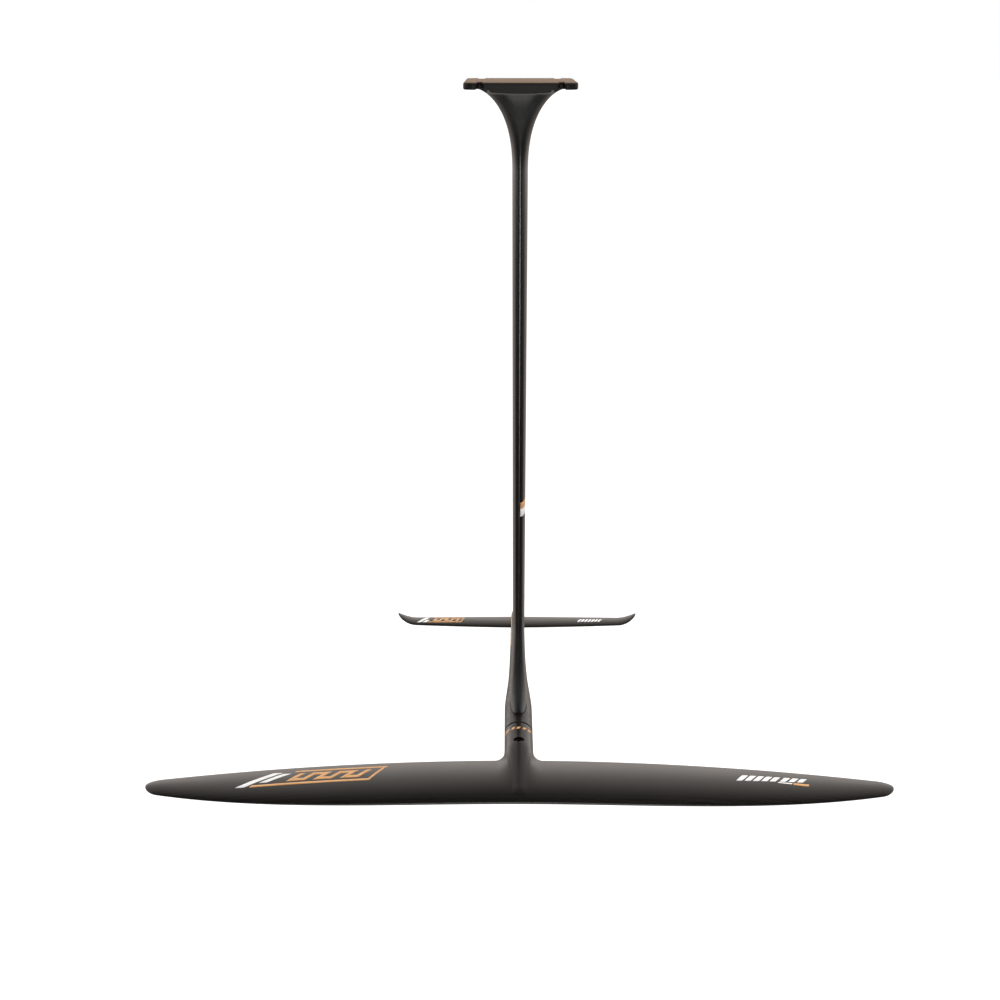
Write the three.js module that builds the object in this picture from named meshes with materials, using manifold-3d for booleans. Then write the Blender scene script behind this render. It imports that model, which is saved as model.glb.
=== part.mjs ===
// A hydrofoil for a foil board: a flared mast with its board plate, a fuselage, a front wing and a tail wing.
// Millimetres. +Z is up and -Y is the direction of travel. The origin is the centre of the plate's top face.
import * as THREE from "three";
import { mergeVertices } from "three/addons/utils/BufferGeometryUtils.js";
import Module from "manifold-3d";

const wasm = await Module();
wasm.setup();

// ---- Driving dimensions ----

const FIT_GAP = 0.3; // between pieces that touch

const plate = { length: 180, width: 126, thickness: 8, corner: 13, bevel: 1.4 };
const slot = { spacing: 90, width: 6.6, depth: 28, headClearance: 8.5 };
const boss = { topHalf: 35, bottomHalf: 31, side: 2.6, crown: 1.7, rear: 56 };

const mast = {
  leadingEdge: -67,
  chordTop: 115,
  chordBottom: 108,
  halfTop: 8.9,
  halfBottom: 7.1,
  halfFoot: 9.9,
  edge: 0.5, // half thickness at the trailing edge
  top: -(plate.thickness + FIT_GAP),
  seat: -750, // where it meets the top of the fuselage
  tenon: 15, // how far its foot goes into the fuselage
};
const flare = { start: -7, height: 90, side: 45.2, front: 85, rear: 36, widest: 0.45, frontSquareness: 4.5 };
const footFlare = { start: -640, end: -742 };
const cavity = { top: -30, wall: 2.1, front: 7, rear: 24 };
const footBlockTop = -700;

const fuselage = { front: -91.5, rear: 340, top: mast.seat, height: 27 };
const section = { front: 2, tail: 2.6, start: 90, end: 230 }; // from an ellipse to a squarer section
const tongue = { end: -155, half: 12.5, rise: 9, endHalf: 10.8, endRise: 7.6, squareness: 3 };
const tail = { seat: -767.5, seatFront: 288, tipFront: 297 };

const wing = {
  halfSpan: 430,
  rootChord: 109,
  taper: 0.73, // how much of the chord is lost towards the tip, before the tip is rounded off
  taperPower: 3.1,
  tipStart: 0.96, // share of the half span where the round tip starts
  tipSweep: 0.33, // share of the lost chord that comes off the rear edge
  trailingEdge: -169,
  trailingCurve: 24.5,
  chordPlane: -765,
  droop: 15.8,
  rootThickness: 0.125,
  tipThickness: 0.1,
  camber: 0.012,
  edge: 0.45,
  skin: 1.2,
};
const hub = {
  rear: fuselage.front - 0.4,
  half: 17,
  parallel: -150,
  nose: -262,
  noseHalf: 9,
  sink: 8.5,
  fillet: 25,
  filletWidth: 14,
  filletDepth: 1.8,
};
const socket = { front: -162, half: 14.6, rise: 11.2, squareness: 2.3 };

const tailWing = {
  halfSpan: 173.5,
  rootChord: 44,
  leadingEdge: 295.5,
  plane: -771.5,
  thickness: 0.104,
  taper: 0.3,
  edge: 0.35,
  tipStart: 150,
  upturnStart: 146,
  upturn: 6.5,
};
const pad = { half: 7.6, front: 298, rear: 337, top: tail.seat - 1.2, bottom: -773.9 };

const frontScrew = { y: -141, head: 6, shank: 3, length: 18, top: fuselage.top - 0.9 };
const mastBolt = { stations: [-45, -13], head: 8, shank: 4, length: 39, bottom: -775.4 };
const tailBolt = { stations: [304, 320], head: 5.8, shank: 3, length: 14, bottom: pad.bottom + 0.3 };
const mastInsert = { outer: 5.7, length: 24 };
const smallInsert = { outer: 4.1, length: 9.5 };

// ---- Materials ----

const material = (color, roughness, metalness) =>
  new THREE.MeshStandardMaterial({ color, roughness, metalness });
const carbon = material(0x24211f, 0.42, 0.0);
const mouldedCarbon = material(0x1c1a19, 0.5, 0.0);
const foam = material(0xd9cfae, 0.9, 0.0);
const stainless = material(0xb8b8ba, 0.3, 1.0);
const blackOxide = material(0x18181a, 0.35, 0.9);
const brass = material(0xb08d4a, 0.35, 1.0);
const laminate = material(0x3a3a38, 0.6, 0.0);

// ---- Solids from geometry ----

// A closed geometry as a solid whose faces point out.
function solid(geometry) {
  const bare = geometry.clone();
  for (const name of Object.keys(bare.attributes)) if (name !== "position") bare.deleteAttribute(name);
  const merged = mergeVertices(bare, 1e-4);
  const index = Array.from(merged.index.array);
  const triangles = [];
  for (let i = 0; i < index.length; i += 3) {
    const [a, b, c] = index.slice(i, i + 3);
    if (a !== b && b !== c && c !== a) triangles.push([a, b, c]);
  }
  const build = (list) =>
    new wasm.Manifold(
      new wasm.Mesh({
        numProp: 3,
        vertProperties: merged.attributes.position.array,
        triVerts: new Uint32Array(list.flat()),
      }),
    );
  const made = build(triangles);
  return made.volume() > 0 ? made : build(triangles.map(([a, b, c]) => [a, c, b]));
}

function geometryOf(manifold) {
  const { vertProperties, triVerts } = manifold.getMesh();
  const geometry = new THREE.BufferGeometry();
  geometry.setAttribute("position", new THREE.BufferAttribute(vertProperties, 3));
  geometry.setIndex(new THREE.BufferAttribute(triVerts, 1));
  geometry.computeVertexNormals();
  return geometry;
}

// A closed skin through rings of points. Every ring has the same count, and lies across the given axis.
function loft(rings, axis) {
  const count = rings[0].length;
  const index = [];
  for (let r = 0; r + 1 < rings.length; r++)
    for (let k = 0; k < count; k++) {
      const a = r * count + k;
      const b = r * count + ((k + 1) % count);
      index.push(a, b, b + count, a, b + count, a + count);
    }
  const flat = (p) => new THREE.Vector2(axis === "x" ? p.y : p.x, axis === "z" ? p.y : p.z);
  const cap = (ring, first, facing) => {
    const contour = ring.map(flat);
    const turn = THREE.ShapeUtils.area(contour) > 0;
    const order = turn ? contour : contour.slice().reverse();
    const at = (i) => first + (turn ? i : count - 1 - i);
    for (const [a, b, c] of THREE.ShapeUtils.triangulateShape(order, [])) {
      const face = [at(a), at(b), at(c)];
      index.push(...(facing === turn ? face : face.reverse()));
    }
  };
  const spread = (ring) => Math.abs(THREE.ShapeUtils.area(ring.map(flat))) > 1e-6;
  if (spread(rings[0])) cap(rings[0], 0, false);
  if (spread(rings[rings.length - 1])) cap(rings[rings.length - 1], (rings.length - 1) * count, true);
  const geometry = new THREE.BufferGeometry();
  const points = rings.flat().flatMap((p) => [p.x, p.y, p.z]);
  geometry.setAttribute("position", new THREE.Float32BufferAttribute(points, 3));
  geometry.setIndex(index);
  return solid(geometry);
}

function box(low, high) {
  const size = high.map((v, i) => v - low[i]);
  const middle = high.map((v, i) => (v + low[i]) / 2);
  return solid(new THREE.BoxGeometry(...size).translate(...middle));
}

// A turned piece on a vertical axis through (x, y). Its profile of [radius, z] starts and ends on the axis.
function turned(profile, x, y, sides = 24) {
  const points = profile.map(([r, z]) => new THREE.Vector2(r, z));
  return solid(new THREE.LatheGeometry(points, sides).rotateX(Math.PI / 2).translate(x, y, 0));
}

const pin = (radius, low, high, x, y, sides = 24) =>
  turned([[0, low], [radius, low], [radius, high], [0, high]], x, y, sides);

// ---- Curves that several pieces share ----

const clamp01 = (t) => Math.min(1, Math.max(0, t));
const smooth = (t) => clamp01(t) ** 2 * (3 - 2 * clamp01(t));
const mix = (a, b, t) => a + (b - a) * t;

// Shares from 0 to 1, close together at both ends.
const eased = (steps) =>
  Array.from({ length: steps + 1 }, (_, i) => (1 - Math.cos((Math.PI * i) / steps)) / 2);

// A foil section's half thickness at a share of the chord, as a share of its greatest half thickness.
function foilShape(s) {
  const poly = 0.2969 * Math.sqrt(s) - 0.126 * s - 0.3516 * s ** 2 + 0.2843 * s ** 3 - 0.1036 * s ** 4;
  return Math.max(0, poly) / 0.1;
}

// A superellipse ring across Y: half width, top and bottom, and squareness.
function roundedRing(y, half, top, bottom, squareness, points = 28) {
  const ring = [];
  for (let i = 0; i < points; i++) {
    const angle = (2 * Math.PI * (i + 0.5)) / points;
    const bend = (v) => Math.sign(v) * Math.abs(v) ** (2 / squareness);
    const x = half * bend(Math.cos(angle));
    const z = (top + bottom) / 2 + ((top - bottom) / 2) * bend(Math.sin(angle));
    ring.push(new THREE.Vector3(x, y, z));
  }
  return ring;
}

// ---- Board plate ----

const halfLength = plate.length / 2;
const halfWidth = plate.width / 2;
const slotX = slot.spacing / 2;

// The plate's outline seen from above, drawn in by an inset, with round corners. Two slots open to the front
// and two to the rear. A quarter of it is described, and the rest mirrors that.
function plateOutline(inset, z) {
  const arc = (x, y, radius, from, to, steps) =>
    Array.from({ length: steps + 1 }, (_, i) => {
      const angle = mix(from, to, i / steps);
      return [x + radius * Math.cos(angle), y + radius * Math.sin(angle)];
    });
  const r = slot.width / 2 + inset;
  const deep = halfLength - slot.depth + slot.width / 2;
  const [cx, cy] = [halfWidth - plate.corner, halfLength - plate.corner];
  const quarter = [
    ...arc(cx, cy, plate.corner - inset, 0, Math.PI / 2, 6),
    [slotX + r, halfLength - inset],
    ...arc(slotX, deep, r, 0, -Math.PI, 10),
    [slotX - r, halfLength - inset],
  ];
  const half = [...quarter, ...quarter.map(([x, y]) => [-x, y]).reverse()];
  const whole = [...half, ...half.map(([x, y]) => [x, -y]).reverse()];
  return whole.map(([x, y]) => new THREE.Vector3(x, y, z));
}

// The crowned boss under the plate that the head of the mast is bonded round, grown by a clearance.
function bossSolid(grow) {
  const under = -plate.thickness;
  const bottom = under - boss.side - grow;
  const shape = new THREE.Shape();
  shape.moveTo(-boss.topHalf - grow, under + 4);
  shape.lineTo(-boss.topHalf - grow, under);
  shape.lineTo(-boss.bottomHalf - grow, bottom);
  shape.quadraticCurveTo(0, bottom - 2 * boss.crown, boss.bottomHalf + grow, bottom);
  shape.lineTo(boss.topHalf + grow, under);
  shape.lineTo(boss.topHalf + grow, under + 4);
  const depth = boss.rear + halfLength + grow;
  const geometry = new THREE.ExtrudeGeometry(shape, { depth, bevelEnabled: false, curveSegments: 10 });
  return solid(geometry.rotateX(Math.PI / 2).translate(0, boss.rear + grow, 0));
}

function basePlate() {
  const edge = [[plate.bevel, 0], [plate.bevel * 0.3, plate.bevel * 0.3], [0, plate.bevel]];
  const top = edge.map(([inset, down]) => plateOutline(inset, -down));
  const bottom = edge.map(([inset, up]) => plateOutline(inset, up - plate.thickness));
  return loft([...bottom, ...top.reverse()], "z").add(bossSolid(0));
}

// ---- Mast ----

const flareEnd = flare.start - flare.height;
const taperShare = (z) => clamp01((z - flareEnd) / (footFlare.start - flareEnd));
const mastChord = (z) => mix(mast.chordTop, mast.chordBottom, taperShare(z));

function mastHalf(z) {
  const straight = mix(mast.halfTop, mast.halfBottom, taperShare(z));
  const foot = smooth((z - footFlare.start) / (footFlare.end - footFlare.start));
  return mix(straight, mast.halfFoot, foot);
}

// The mast's half width at a height and at a share of its chord.
const mastSwell = (z, s) => mastHalf(z) * foilShape(s);

// How much of the head's flare is left at a height: 1 at the plate, 0 at the bottom of the flare.
function flareShare(z) {
  const down = clamp01((flare.start - z) / flare.height);
  return (1 - down ** 0.6) ** 1.95;
}

// How far the flare may reach ahead of the leading edge before it meets the plate's front face.
const flareReach = halfLength - 0.1 + mast.leadingEdge;

// The mast's outline at a height, grown outwards by a clearance.
function mastRing(z, grow = 0, points = 40) {
  const share = flareShare(z);
  const front = mast.leadingEdge - flareReach * Math.tanh((flare.front * share) / flareReach) - grow;
  const rear = mast.leadingEdge + mastChord(z) + flare.rear * share + grow;
  const ahead = mix(2, flare.frontSquareness, smooth(share * 2));
  const ring = [];
  for (let i = 0; i < points; i++) {
    const angle = (2 * Math.PI * i) / points;
    const s = (1 - Math.cos(angle)) / 2;
    const off = (s - flare.widest) / (s < flare.widest ? flare.widest : 1 - flare.widest);
    const oval = Math.max(0, 1 - Math.abs(off) ** (off < 0 ? ahead : 2)) ** (1 / (off < 0 ? ahead : 2));
    const swell = mastSwell(z, s) + grow * foilShape(s) + flare.side * share * oval;
    const blunt = i % (points / 2) ? mast.edge * Math.sqrt(clamp01((1 - s) / 0.03)) : 0;
    const x = Math.sign(Math.sin(angle)) * Math.max(swell, blunt);
    ring.push(new THREE.Vector3(x, mix(front, rear, s), z));
  }
  return ring;
}

// The heights of the mast's rings: close together in the flare and at the foot, and far apart between them.
const footLevels = Array.from({ length: 6 }, (_, i) => mix(footFlare.start, footFlare.end, i / 5));
const mastLevels = [
  ...Array.from({ length: 14 }, (_, i) => mast.top + (flareEnd - mast.top) * (i / 13) ** 1.9),
  -280,
  -460,
  ...footLevels,
  mast.seat - mast.tenon,
];

// The hollow inside the mast, or the filler that fits it when shrunk by a gap.
function mastHollow(low, high, shrink) {
  const levels = [-200, -420, footFlare.start, ...footLevels.slice(1)];
  const inside = levels.filter((z) => z < high - 1 && z > low + 1);
  const ring = (z) => {
    const chord = mastChord(z);
    const front = cavity.front + shrink;
    const rear = chord - cavity.rear - shrink;
    const side = eased(9).map((t) => {
      const s = mix(front, rear, t) / chord;
      return new THREE.Vector3(mastSwell(z, s) - cavity.wall - shrink, mast.leadingEdge + s * chord, z);
    });
    return [...side, ...side.map((p) => new THREE.Vector3(-p.x, p.y, p.z)).reverse()];
  };
  return loft([high, ...inside, low].map(ring), "z");
}

function mastShell() {
  const outer = loft(mastLevels.map((z) => mastRing(z)), "z");
  let made = outer.subtract(bossSolid(FIT_GAP));
  for (const x of [-slotX, slotX]) {
    const inner = -halfLength + slot.depth - slot.width / 2;
    const r = slot.headClearance;
    made = made.subtract(pin(r, -60, 0, x, inner, 28));
    made = made.subtract(box([x - r, -100, -60], [x + r, inner, 0]));
  }
  return made.subtract(mastHollow(mast.seat - mast.tenon - 1, cavity.top, 0));
}

const mastCore = () => mastHollow(footBlockTop + FIT_GAP, cavity.top - FIT_GAP, FIT_GAP);

const insertTop = mast.seat - mast.tenon + mastInsert.length + 2;

function mastFootBlock() {
  let made = mastHollow(mast.seat - mast.tenon + FIT_GAP, footBlockTop, FIT_GAP);
  const boltEnd = mastBolt.bottom + mastBolt.length;
  for (const y of mastBolt.stations) {
    made = made.subtract(pin(mastInsert.outer + FIT_GAP, -800, insertTop + FIT_GAP, 0, y));
    made = made.subtract(pin(mastBolt.shank + FIT_GAP, -800, boltEnd + 4, 0, y, 16));
  }
  return made;
}

// A threaded insert, as a plain sleeve whose bore clears the screw's shank.
function insert(outer, bore, low, high, y) {
  return pin(outer, low, high, 0, y).subtract(pin(bore + FIT_GAP, low - 1, high + 1, 0, y));
}

// A countersunk screw with a hexagon socket. Its head's flat face is at z, and its shank runs up or down.
function countersunk(screw, y, z, direction) {
  const { head, shank, length } = screw;
  const taper = head - shank;
  const land = 0.5;
  const at = (depth) => z + direction * depth;
  const outline = [[0, 0], [head, 0], [head, land], [shank, land + taper], [shank, length], [0, length]];
  const body = turned(outline.map(([r, depth]) => [r, at(depth)]), 0, y, 20);
  const key = shank * 0.72;
  const low = Math.min(at(-1), at(taper * 0.9));
  const high = Math.max(at(-1), at(taper * 0.9));
  return body.subtract(pin(key, low, high, 0, y, 6));
}

// The room that a countersunk screw needs, with an open way for its head.
function screwHole(screw, y, z, direction, far) {
  const wide = screw.head + 0.35;
  const narrow = screw.shank + FIT_GAP;
  const at = (depth) => z + direction * depth;
  const neck = at(0.6 + wide - narrow);
  const mouth = [[0, at(-12)], [wide, at(-12)], [wide, at(0.6)]];
  return turned([...mouth, [narrow, neck], [narrow, far], [0, far]], 0, y, 20);
}

// ---- Fuselage ----

// [station, half width, top, bottom] along the length, which narrows behind the mast to a rounded tail.
const fuselageStations = [
  [fuselage.front, 17, -750, -777],
  [-50, 17, -750, -777],
  [-12, 16.8, -750, -777],
  [27, 15, -750, -777],
  [54, 13.4, -750.2, -776.6],
  [81, 12.2, -750.5, -775.8],
  [124, 11, -751.1, -774],
  [198, 9.8, -752.2, -770.8],
  [261, 9.2, -753.1, -768.8],
  [tail.tipFront, 8.9, -753.7, -768.2],
  [321, 7.6, -754.6, -768],
  [334, 5.2, -756.4, -767.8],
  [fuselage.rear, 1.2, -759.5, -767.6],
];

// One of the columns above as a smooth curve along the length.
function fuselageCurve(column) {
  const stations = fuselageStations.map((s) => s[0]);
  const values = fuselageStations.map((s) => s[column]);
  const last = stations.length - 1;
  const slope = (i) => {
    const [a, b] = [Math.max(0, i - 1), Math.min(last, i + 1)];
    return (values[b] - values[a]) / (stations[b] - stations[a]);
  };
  return (y) => {
    const k = Math.min(last - 1, Math.max(0, stations.findIndex((station) => station >= y) - 1));
    const span = stations[k + 1] - stations[k];
    const t = clamp01((y - stations[k]) / span);
    const ends = values[k] * (1 + 2 * t) * (1 - t) ** 2 + values[k + 1] * t * t * (3 - 2 * t);
    return ends + span * (slope(k) * t * (1 - t) ** 2 + slope(k + 1) * t * t * (t - 1));
  };
}
const [fuselageHalf, fuselageTop, fuselageBottom] = [1, 2, 3].map(fuselageCurve);
const squarenessAt = (y) =>
  mix(section.front, section.tail, smooth((y - section.start) / (section.end - section.start)));

function tongueSolid(grow) {
  const middle = fuselage.top - fuselage.height / 2;
  const ring = (y, half, rise) =>
    roundedRing(y, half + grow, middle + rise + grow, middle - rise - grow, tongue.squareness, 24);
  const rear = ring(fuselage.front + 3, tongue.half, tongue.rise);
  return loft([rear, ring(tongue.end - grow, tongue.endHalf, tongue.endRise)], "y");
}

const tongueInsertLow = fuselage.top - fuselage.height / 2 - 4;
const tongueInsertHigh = tongueInsertLow + smallInsert.length;

function fuselageBody() {
  const extra = [0, 67, 102, 160, 230, 310, 328, 337.5];
  const stations = [...fuselageStations.map((s) => s[0]), ...extra].sort((a, b) => a - b);
  const rings = stations.map((y) =>
    roundedRing(y, fuselageHalf(y), fuselageTop(y), fuselageBottom(y), squarenessAt(y)));
  let made = loft(rings, "y").add(tongueSolid(0));
  const foot = mastRing(mast.seat, FIT_GAP);
  const seatLevels = [mast.seat + 8, mast.seat - mast.tenon - FIT_GAP];
  made = made.subtract(loft(seatLevels.map((z) => foot.map((p) => p.clone().setZ(z))), "z"));
  for (const y of mastBolt.stations) {
    made = made.subtract(screwHole(mastBolt, y, mastBolt.bottom, 1, mast.seat));
  }
  made = made.subtract(box([-20, tail.seatFront, -790], [20, fuselage.rear + 5, tail.seat]));
  const wide = smallInsert.outer + FIT_GAP;
  const boltEnd = tailBolt.bottom + tailBolt.length;
  for (const y of tailBolt.stations) {
    made = made.subtract(pin(wide, -780, tail.seat + smallInsert.length + FIT_GAP, 0, y));
    made = made.subtract(pin(tailBolt.shank + FIT_GAP, -780, boltEnd + 1, 0, y, 16));
  }
  made = made.subtract(pin(wide, tongueInsertLow - FIT_GAP, -740, 0, frontScrew.y));
  const screwEnd = frontScrew.top - frontScrew.length;
  return made.subtract(pin(frontScrew.shank + FIT_GAP, screwEnd - 1, -740, 0, frontScrew.y, 16));
}

// ---- Front wing ----

function wingSection(x) {
  const u = Math.min(1, Math.abs(x) / wing.halfSpan);
  const tip = clamp01((u - wing.tipStart) / (1 - wing.tipStart));
  const round = Math.sqrt(1 - tip * tip);
  const full = wing.rootChord * (1 - wing.taper * u ** wing.taperPower);
  const chord = full * round;
  const rear = wing.trailingEdge - wing.trailingCurve * u ** 1.9 - wing.tipSweep * full * (1 - round);
  const plane = wing.chordPlane - wing.droop * u * u;
  const thickness = mix(wing.rootThickness, wing.tipThickness, u);
  return { chord, rear, front: rear - chord, plane, thickness, edge: wing.edge * Math.min(1, chord / 20) };
}

// A ring across X from one share of the chord to another, with its surfaces moved in by a depth.
function wingRing(x, from = 0, to = 1, depth = 0, steps = 12) {
  const w = wingSection(x);
  const shares = eased(steps).map((t) => mix(from, to, t));
  const point = (s, side) => {
    const camber = 4 * wing.camber * s * (1 - s) * w.chord;
    const least = Math.min(0.02, w.chord / 100);
    const swell = (w.thickness / 2) * foilShape(s) * w.chord + w.edge * smooth(s * 1.4);
    const half = s === 0 && depth === 0 ? 0 : Math.max(least, swell - depth);
    return new THREE.Vector3(x, w.front + s * w.chord, w.plane + camber + side * half);
  };
  const upper = shares.map((s) => point(s, 1));
  const lower = shares.map((s) => point(s, -1)).reverse();
  if (from === 0) lower.pop();
  return [...upper, ...lower];
}

// Stations across the span, close together at the tips.
const wingStations = (end, count) =>
  Array.from({ length: 2 * count + 1 }, (_, i) => end * Math.sin(((i / count - 1) * Math.PI) / 2));

// The hub on the wing's centre line. It carries on from the fuselage, then narrows and sinks into the wing.
function hubRing(y) {
  const t = clamp01((hub.parallel - y) / (hub.parallel - hub.nose));
  const half = mix(hub.half, hub.noseHalf, smooth(t));
  const top = fuselage.top - hub.sink * t ** 1.3;
  const bottom = fuselage.top - fuselage.height + hub.sink * t ** 1.2;
  return roundedRing(y, half, top, bottom, section.front);
}

// The web that rounds the corner between the hub and the wing's rear edge.
function hubFillet(side) {
  const shape = new THREE.Shape();
  const rear = wing.trailingEdge + hub.fillet;
  const inner = (hub.half - 5) * side;
  const outer = (hub.half + hub.filletWidth) * side;
  shape.moveTo(inner, wing.trailingEdge - 6);
  shape.lineTo(outer, wing.trailingEdge - 6);
  shape.lineTo(outer, wing.trailingEdge - 0.5);
  shape.quadraticCurveTo((hub.half + 1) * side, wing.trailingEdge, (hub.half - 0.4) * side, rear);
  shape.lineTo(inner, rear);
  const options = { depth: hub.filletDepth, bevelEnabled: false, curveSegments: 8 };
  const geometry = new THREE.ExtrudeGeometry(shape, options);
  return solid(geometry.translate(0, 0, wing.chordPlane - hub.filletDepth / 2));
}

function wingBody() {
  const blade = loft(wingStations(wing.halfSpan, 15).map((x) => wingRing(x)), "x");
  const stations = [hub.rear, -118, hub.parallel, -166, -182, -198, -214, -230, -246, hub.nose];
  const pod = loft(stations.map(hubRing), "y");
  return blade.add(pod).add(hubFillet(-1)).add(hubFillet(1));
}

// The block in the hub that the fuselage's tongue goes into.
function socketBlock(grow) {
  const middle = fuselage.top - fuselage.height / 2;
  const rise = socket.rise + grow;
  const ring = (y) => roundedRing(y, socket.half + grow, middle + rise, middle - rise, socket.squareness, 24);
  const rear = grow ? hub.rear + 2 : hub.rear - FIT_GAP;
  return loft([ring(rear), ring(socket.front - grow)], "y");
}

const frontScrewHole = () => screwHole(frontScrew, frontScrew.y, frontScrew.top, -1, tongueInsertHigh);

const wingSocket = () => socketBlock(0).subtract(tongueSolid(FIT_GAP)).subtract(frontScrewHole());

function coreSolid(grow) {
  const depth = wing.skin + FIT_GAP - grow;
  const inset = grow / 40;
  const rings = wingStations(352, 10).map((x) => wingRing(x, 0.09 - inset, 0.76 + inset, depth, 8));
  return loft(rings, "x");
}

const wingCore = () => coreSolid(0).subtract(socketBlock(FIT_GAP));

// Everything above, or below, the surface where the two skins of the wing meet.
function skinSide(side) {
  const shape = new THREE.Shape();
  const xs = wingStations(wing.halfSpan + 4, 14);
  shape.moveTo(xs[0], wing.chordPlane + side * 60);
  for (const x of xs) shape.lineTo(x, wingSection(x).plane + (side * FIT_GAP) / 2);
  shape.lineTo(xs[xs.length - 1], wing.chordPlane + side * 60);
  const geometry = new THREE.ExtrudeGeometry(shape, { depth: 260, bevelEnabled: false });
  return solid(geometry.rotateX(Math.PI / 2).translate(0, -50, 0));
}

const inside = coreSolid(FIT_GAP).add(socketBlock(FIT_GAP)).add(frontScrewHole());
const hollowWing = wingBody().subtract(inside);
const largest = (manifold) => manifold.decompose().sort((a, b) => b.volume() - a.volume())[0];

// ---- Tail wing ----

function tailRing(x, steps = 10) {
  const u = Math.min(tailWing.halfSpan, Math.abs(x));
  const tip = clamp01((u - tailWing.tipStart) / (tailWing.halfSpan - tailWing.tipStart));
  const taper = 1 - tailWing.taper * (u / tailWing.tipStart) ** 1.4;
  const chord = tailWing.rootChord * taper * Math.sqrt(1 - tip * tip);
  const lift = clamp01((u - tailWing.upturnStart) / (tailWing.halfSpan - tailWing.upturnStart));
  const sweep = 3 * tip * tip - 4 * Math.min(1, u / tailWing.tipStart);
  const rear = tailWing.leadingEdge + tailWing.rootChord + sweep;
  const plane = tailWing.plane + tailWing.upturn * lift ** 1.6;
  const edge = tailWing.edge * Math.min(1, chord / 12);
  const point = (s, side) => {
    const half = (tailWing.thickness / 2) * foilShape(s) * chord + edge * smooth(s * 1.4);
    return new THREE.Vector3(x, rear - chord * (1 - s), plane + side * half);
  };
  const shares = eased(steps);
  const lower = shares.slice(1).map((s) => point(s, -1)).reverse();
  return [...shares.map((s) => point(s, 1)), ...lower];
}

function tailWingSolid() {
  const inner = [0, 30, 60, 90, 118, 138, 150, 157, 163, 167.5, 170.6, 172.6, tailWing.halfSpan];
  const stations = [...inner.slice(1).map((x) => -x).reverse(), ...inner];
  let made = loft(stations.map((x) => tailRing(x)), "x");
  made = made.add(box([-pad.half, pad.front, pad.bottom], [pad.half, pad.rear, pad.top]));
  for (const y of tailBolt.stations) {
    made = made.subtract(screwHole(tailBolt, y, tailBolt.bottom, 1, pad.top + 1));
  }
  return made;
}

function tailShim() {
  let made = box([-pad.half, pad.front, pad.top + FIT_GAP], [pad.half, pad.rear - 4, tail.seat - FIT_GAP]);
  for (const y of tailBolt.stations) {
    made = made.subtract(pin(tailBolt.shank + FIT_GAP, pad.bottom, tail.seat, 0, y, 16));
  }
  return made;
}

// ---- The assembly ----

const hydrofoil = new THREE.Group();

function addPiece(name, manifold, look) {
  const mesh = new THREE.Mesh(geometryOf(manifold), look);
  mesh.name = name;
  hydrofoil.add(mesh);
}

addPiece("base_plate", basePlate(), carbon);
addPiece("mast_shell", mastShell(), carbon);
addPiece("mast_core", mastCore(), foam);
addPiece("mast_foot_block", mastFootBlock(), laminate);
addPiece("fuselage", fuselageBody(), mouldedCarbon);
addPiece("front_wing_upper_skin", largest(hollowWing.intersect(skinSide(1))), carbon);
addPiece("front_wing_lower_skin", largest(hollowWing.intersect(skinSide(-1))), carbon);
addPiece("front_wing_core", wingCore(), foam);
addPiece("front_wing_socket", wingSocket(), laminate);
addPiece("tail_wing", tailWingSolid(), carbon);
addPiece("tail_wing_shim", tailShim(), laminate);

const smallSleeve = (low, y) => insert(smallInsert.outer, tailBolt.shank, low, low + smallInsert.length, y);
addPiece("front_wing_screw", countersunk(frontScrew, frontScrew.y, frontScrew.top, -1), blackOxide);
addPiece("fuselage_tongue_insert", smallSleeve(tongueInsertLow, frontScrew.y), brass);

["front", "rear"].forEach((place, i) => {
  const y = mastBolt.stations[i];
  const sleeve = insert(mastInsert.outer, mastBolt.shank, insertTop - mastInsert.length, insertTop, y);
  addPiece(`mast_insert_${place}`, sleeve, stainless);
  addPiece(`mast_bolt_${place}`, countersunk(mastBolt, y, mastBolt.bottom, 1), blackOxide);
});

["front", "rear"].forEach((place, i) => {
  const y = tailBolt.stations[i];
  addPiece(`tail_insert_${place}`, smallSleeve(tail.seat, y), brass);
  addPiece(`tail_bolt_${place}`, countersunk(tailBolt, y, tailBolt.bottom, 1), blackOxide);
});

export default hydrofoil;
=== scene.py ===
import math

import bmesh
import bpy
import numpy as np
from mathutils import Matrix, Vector
from mathutils.bvhtree import BVHTree


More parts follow.
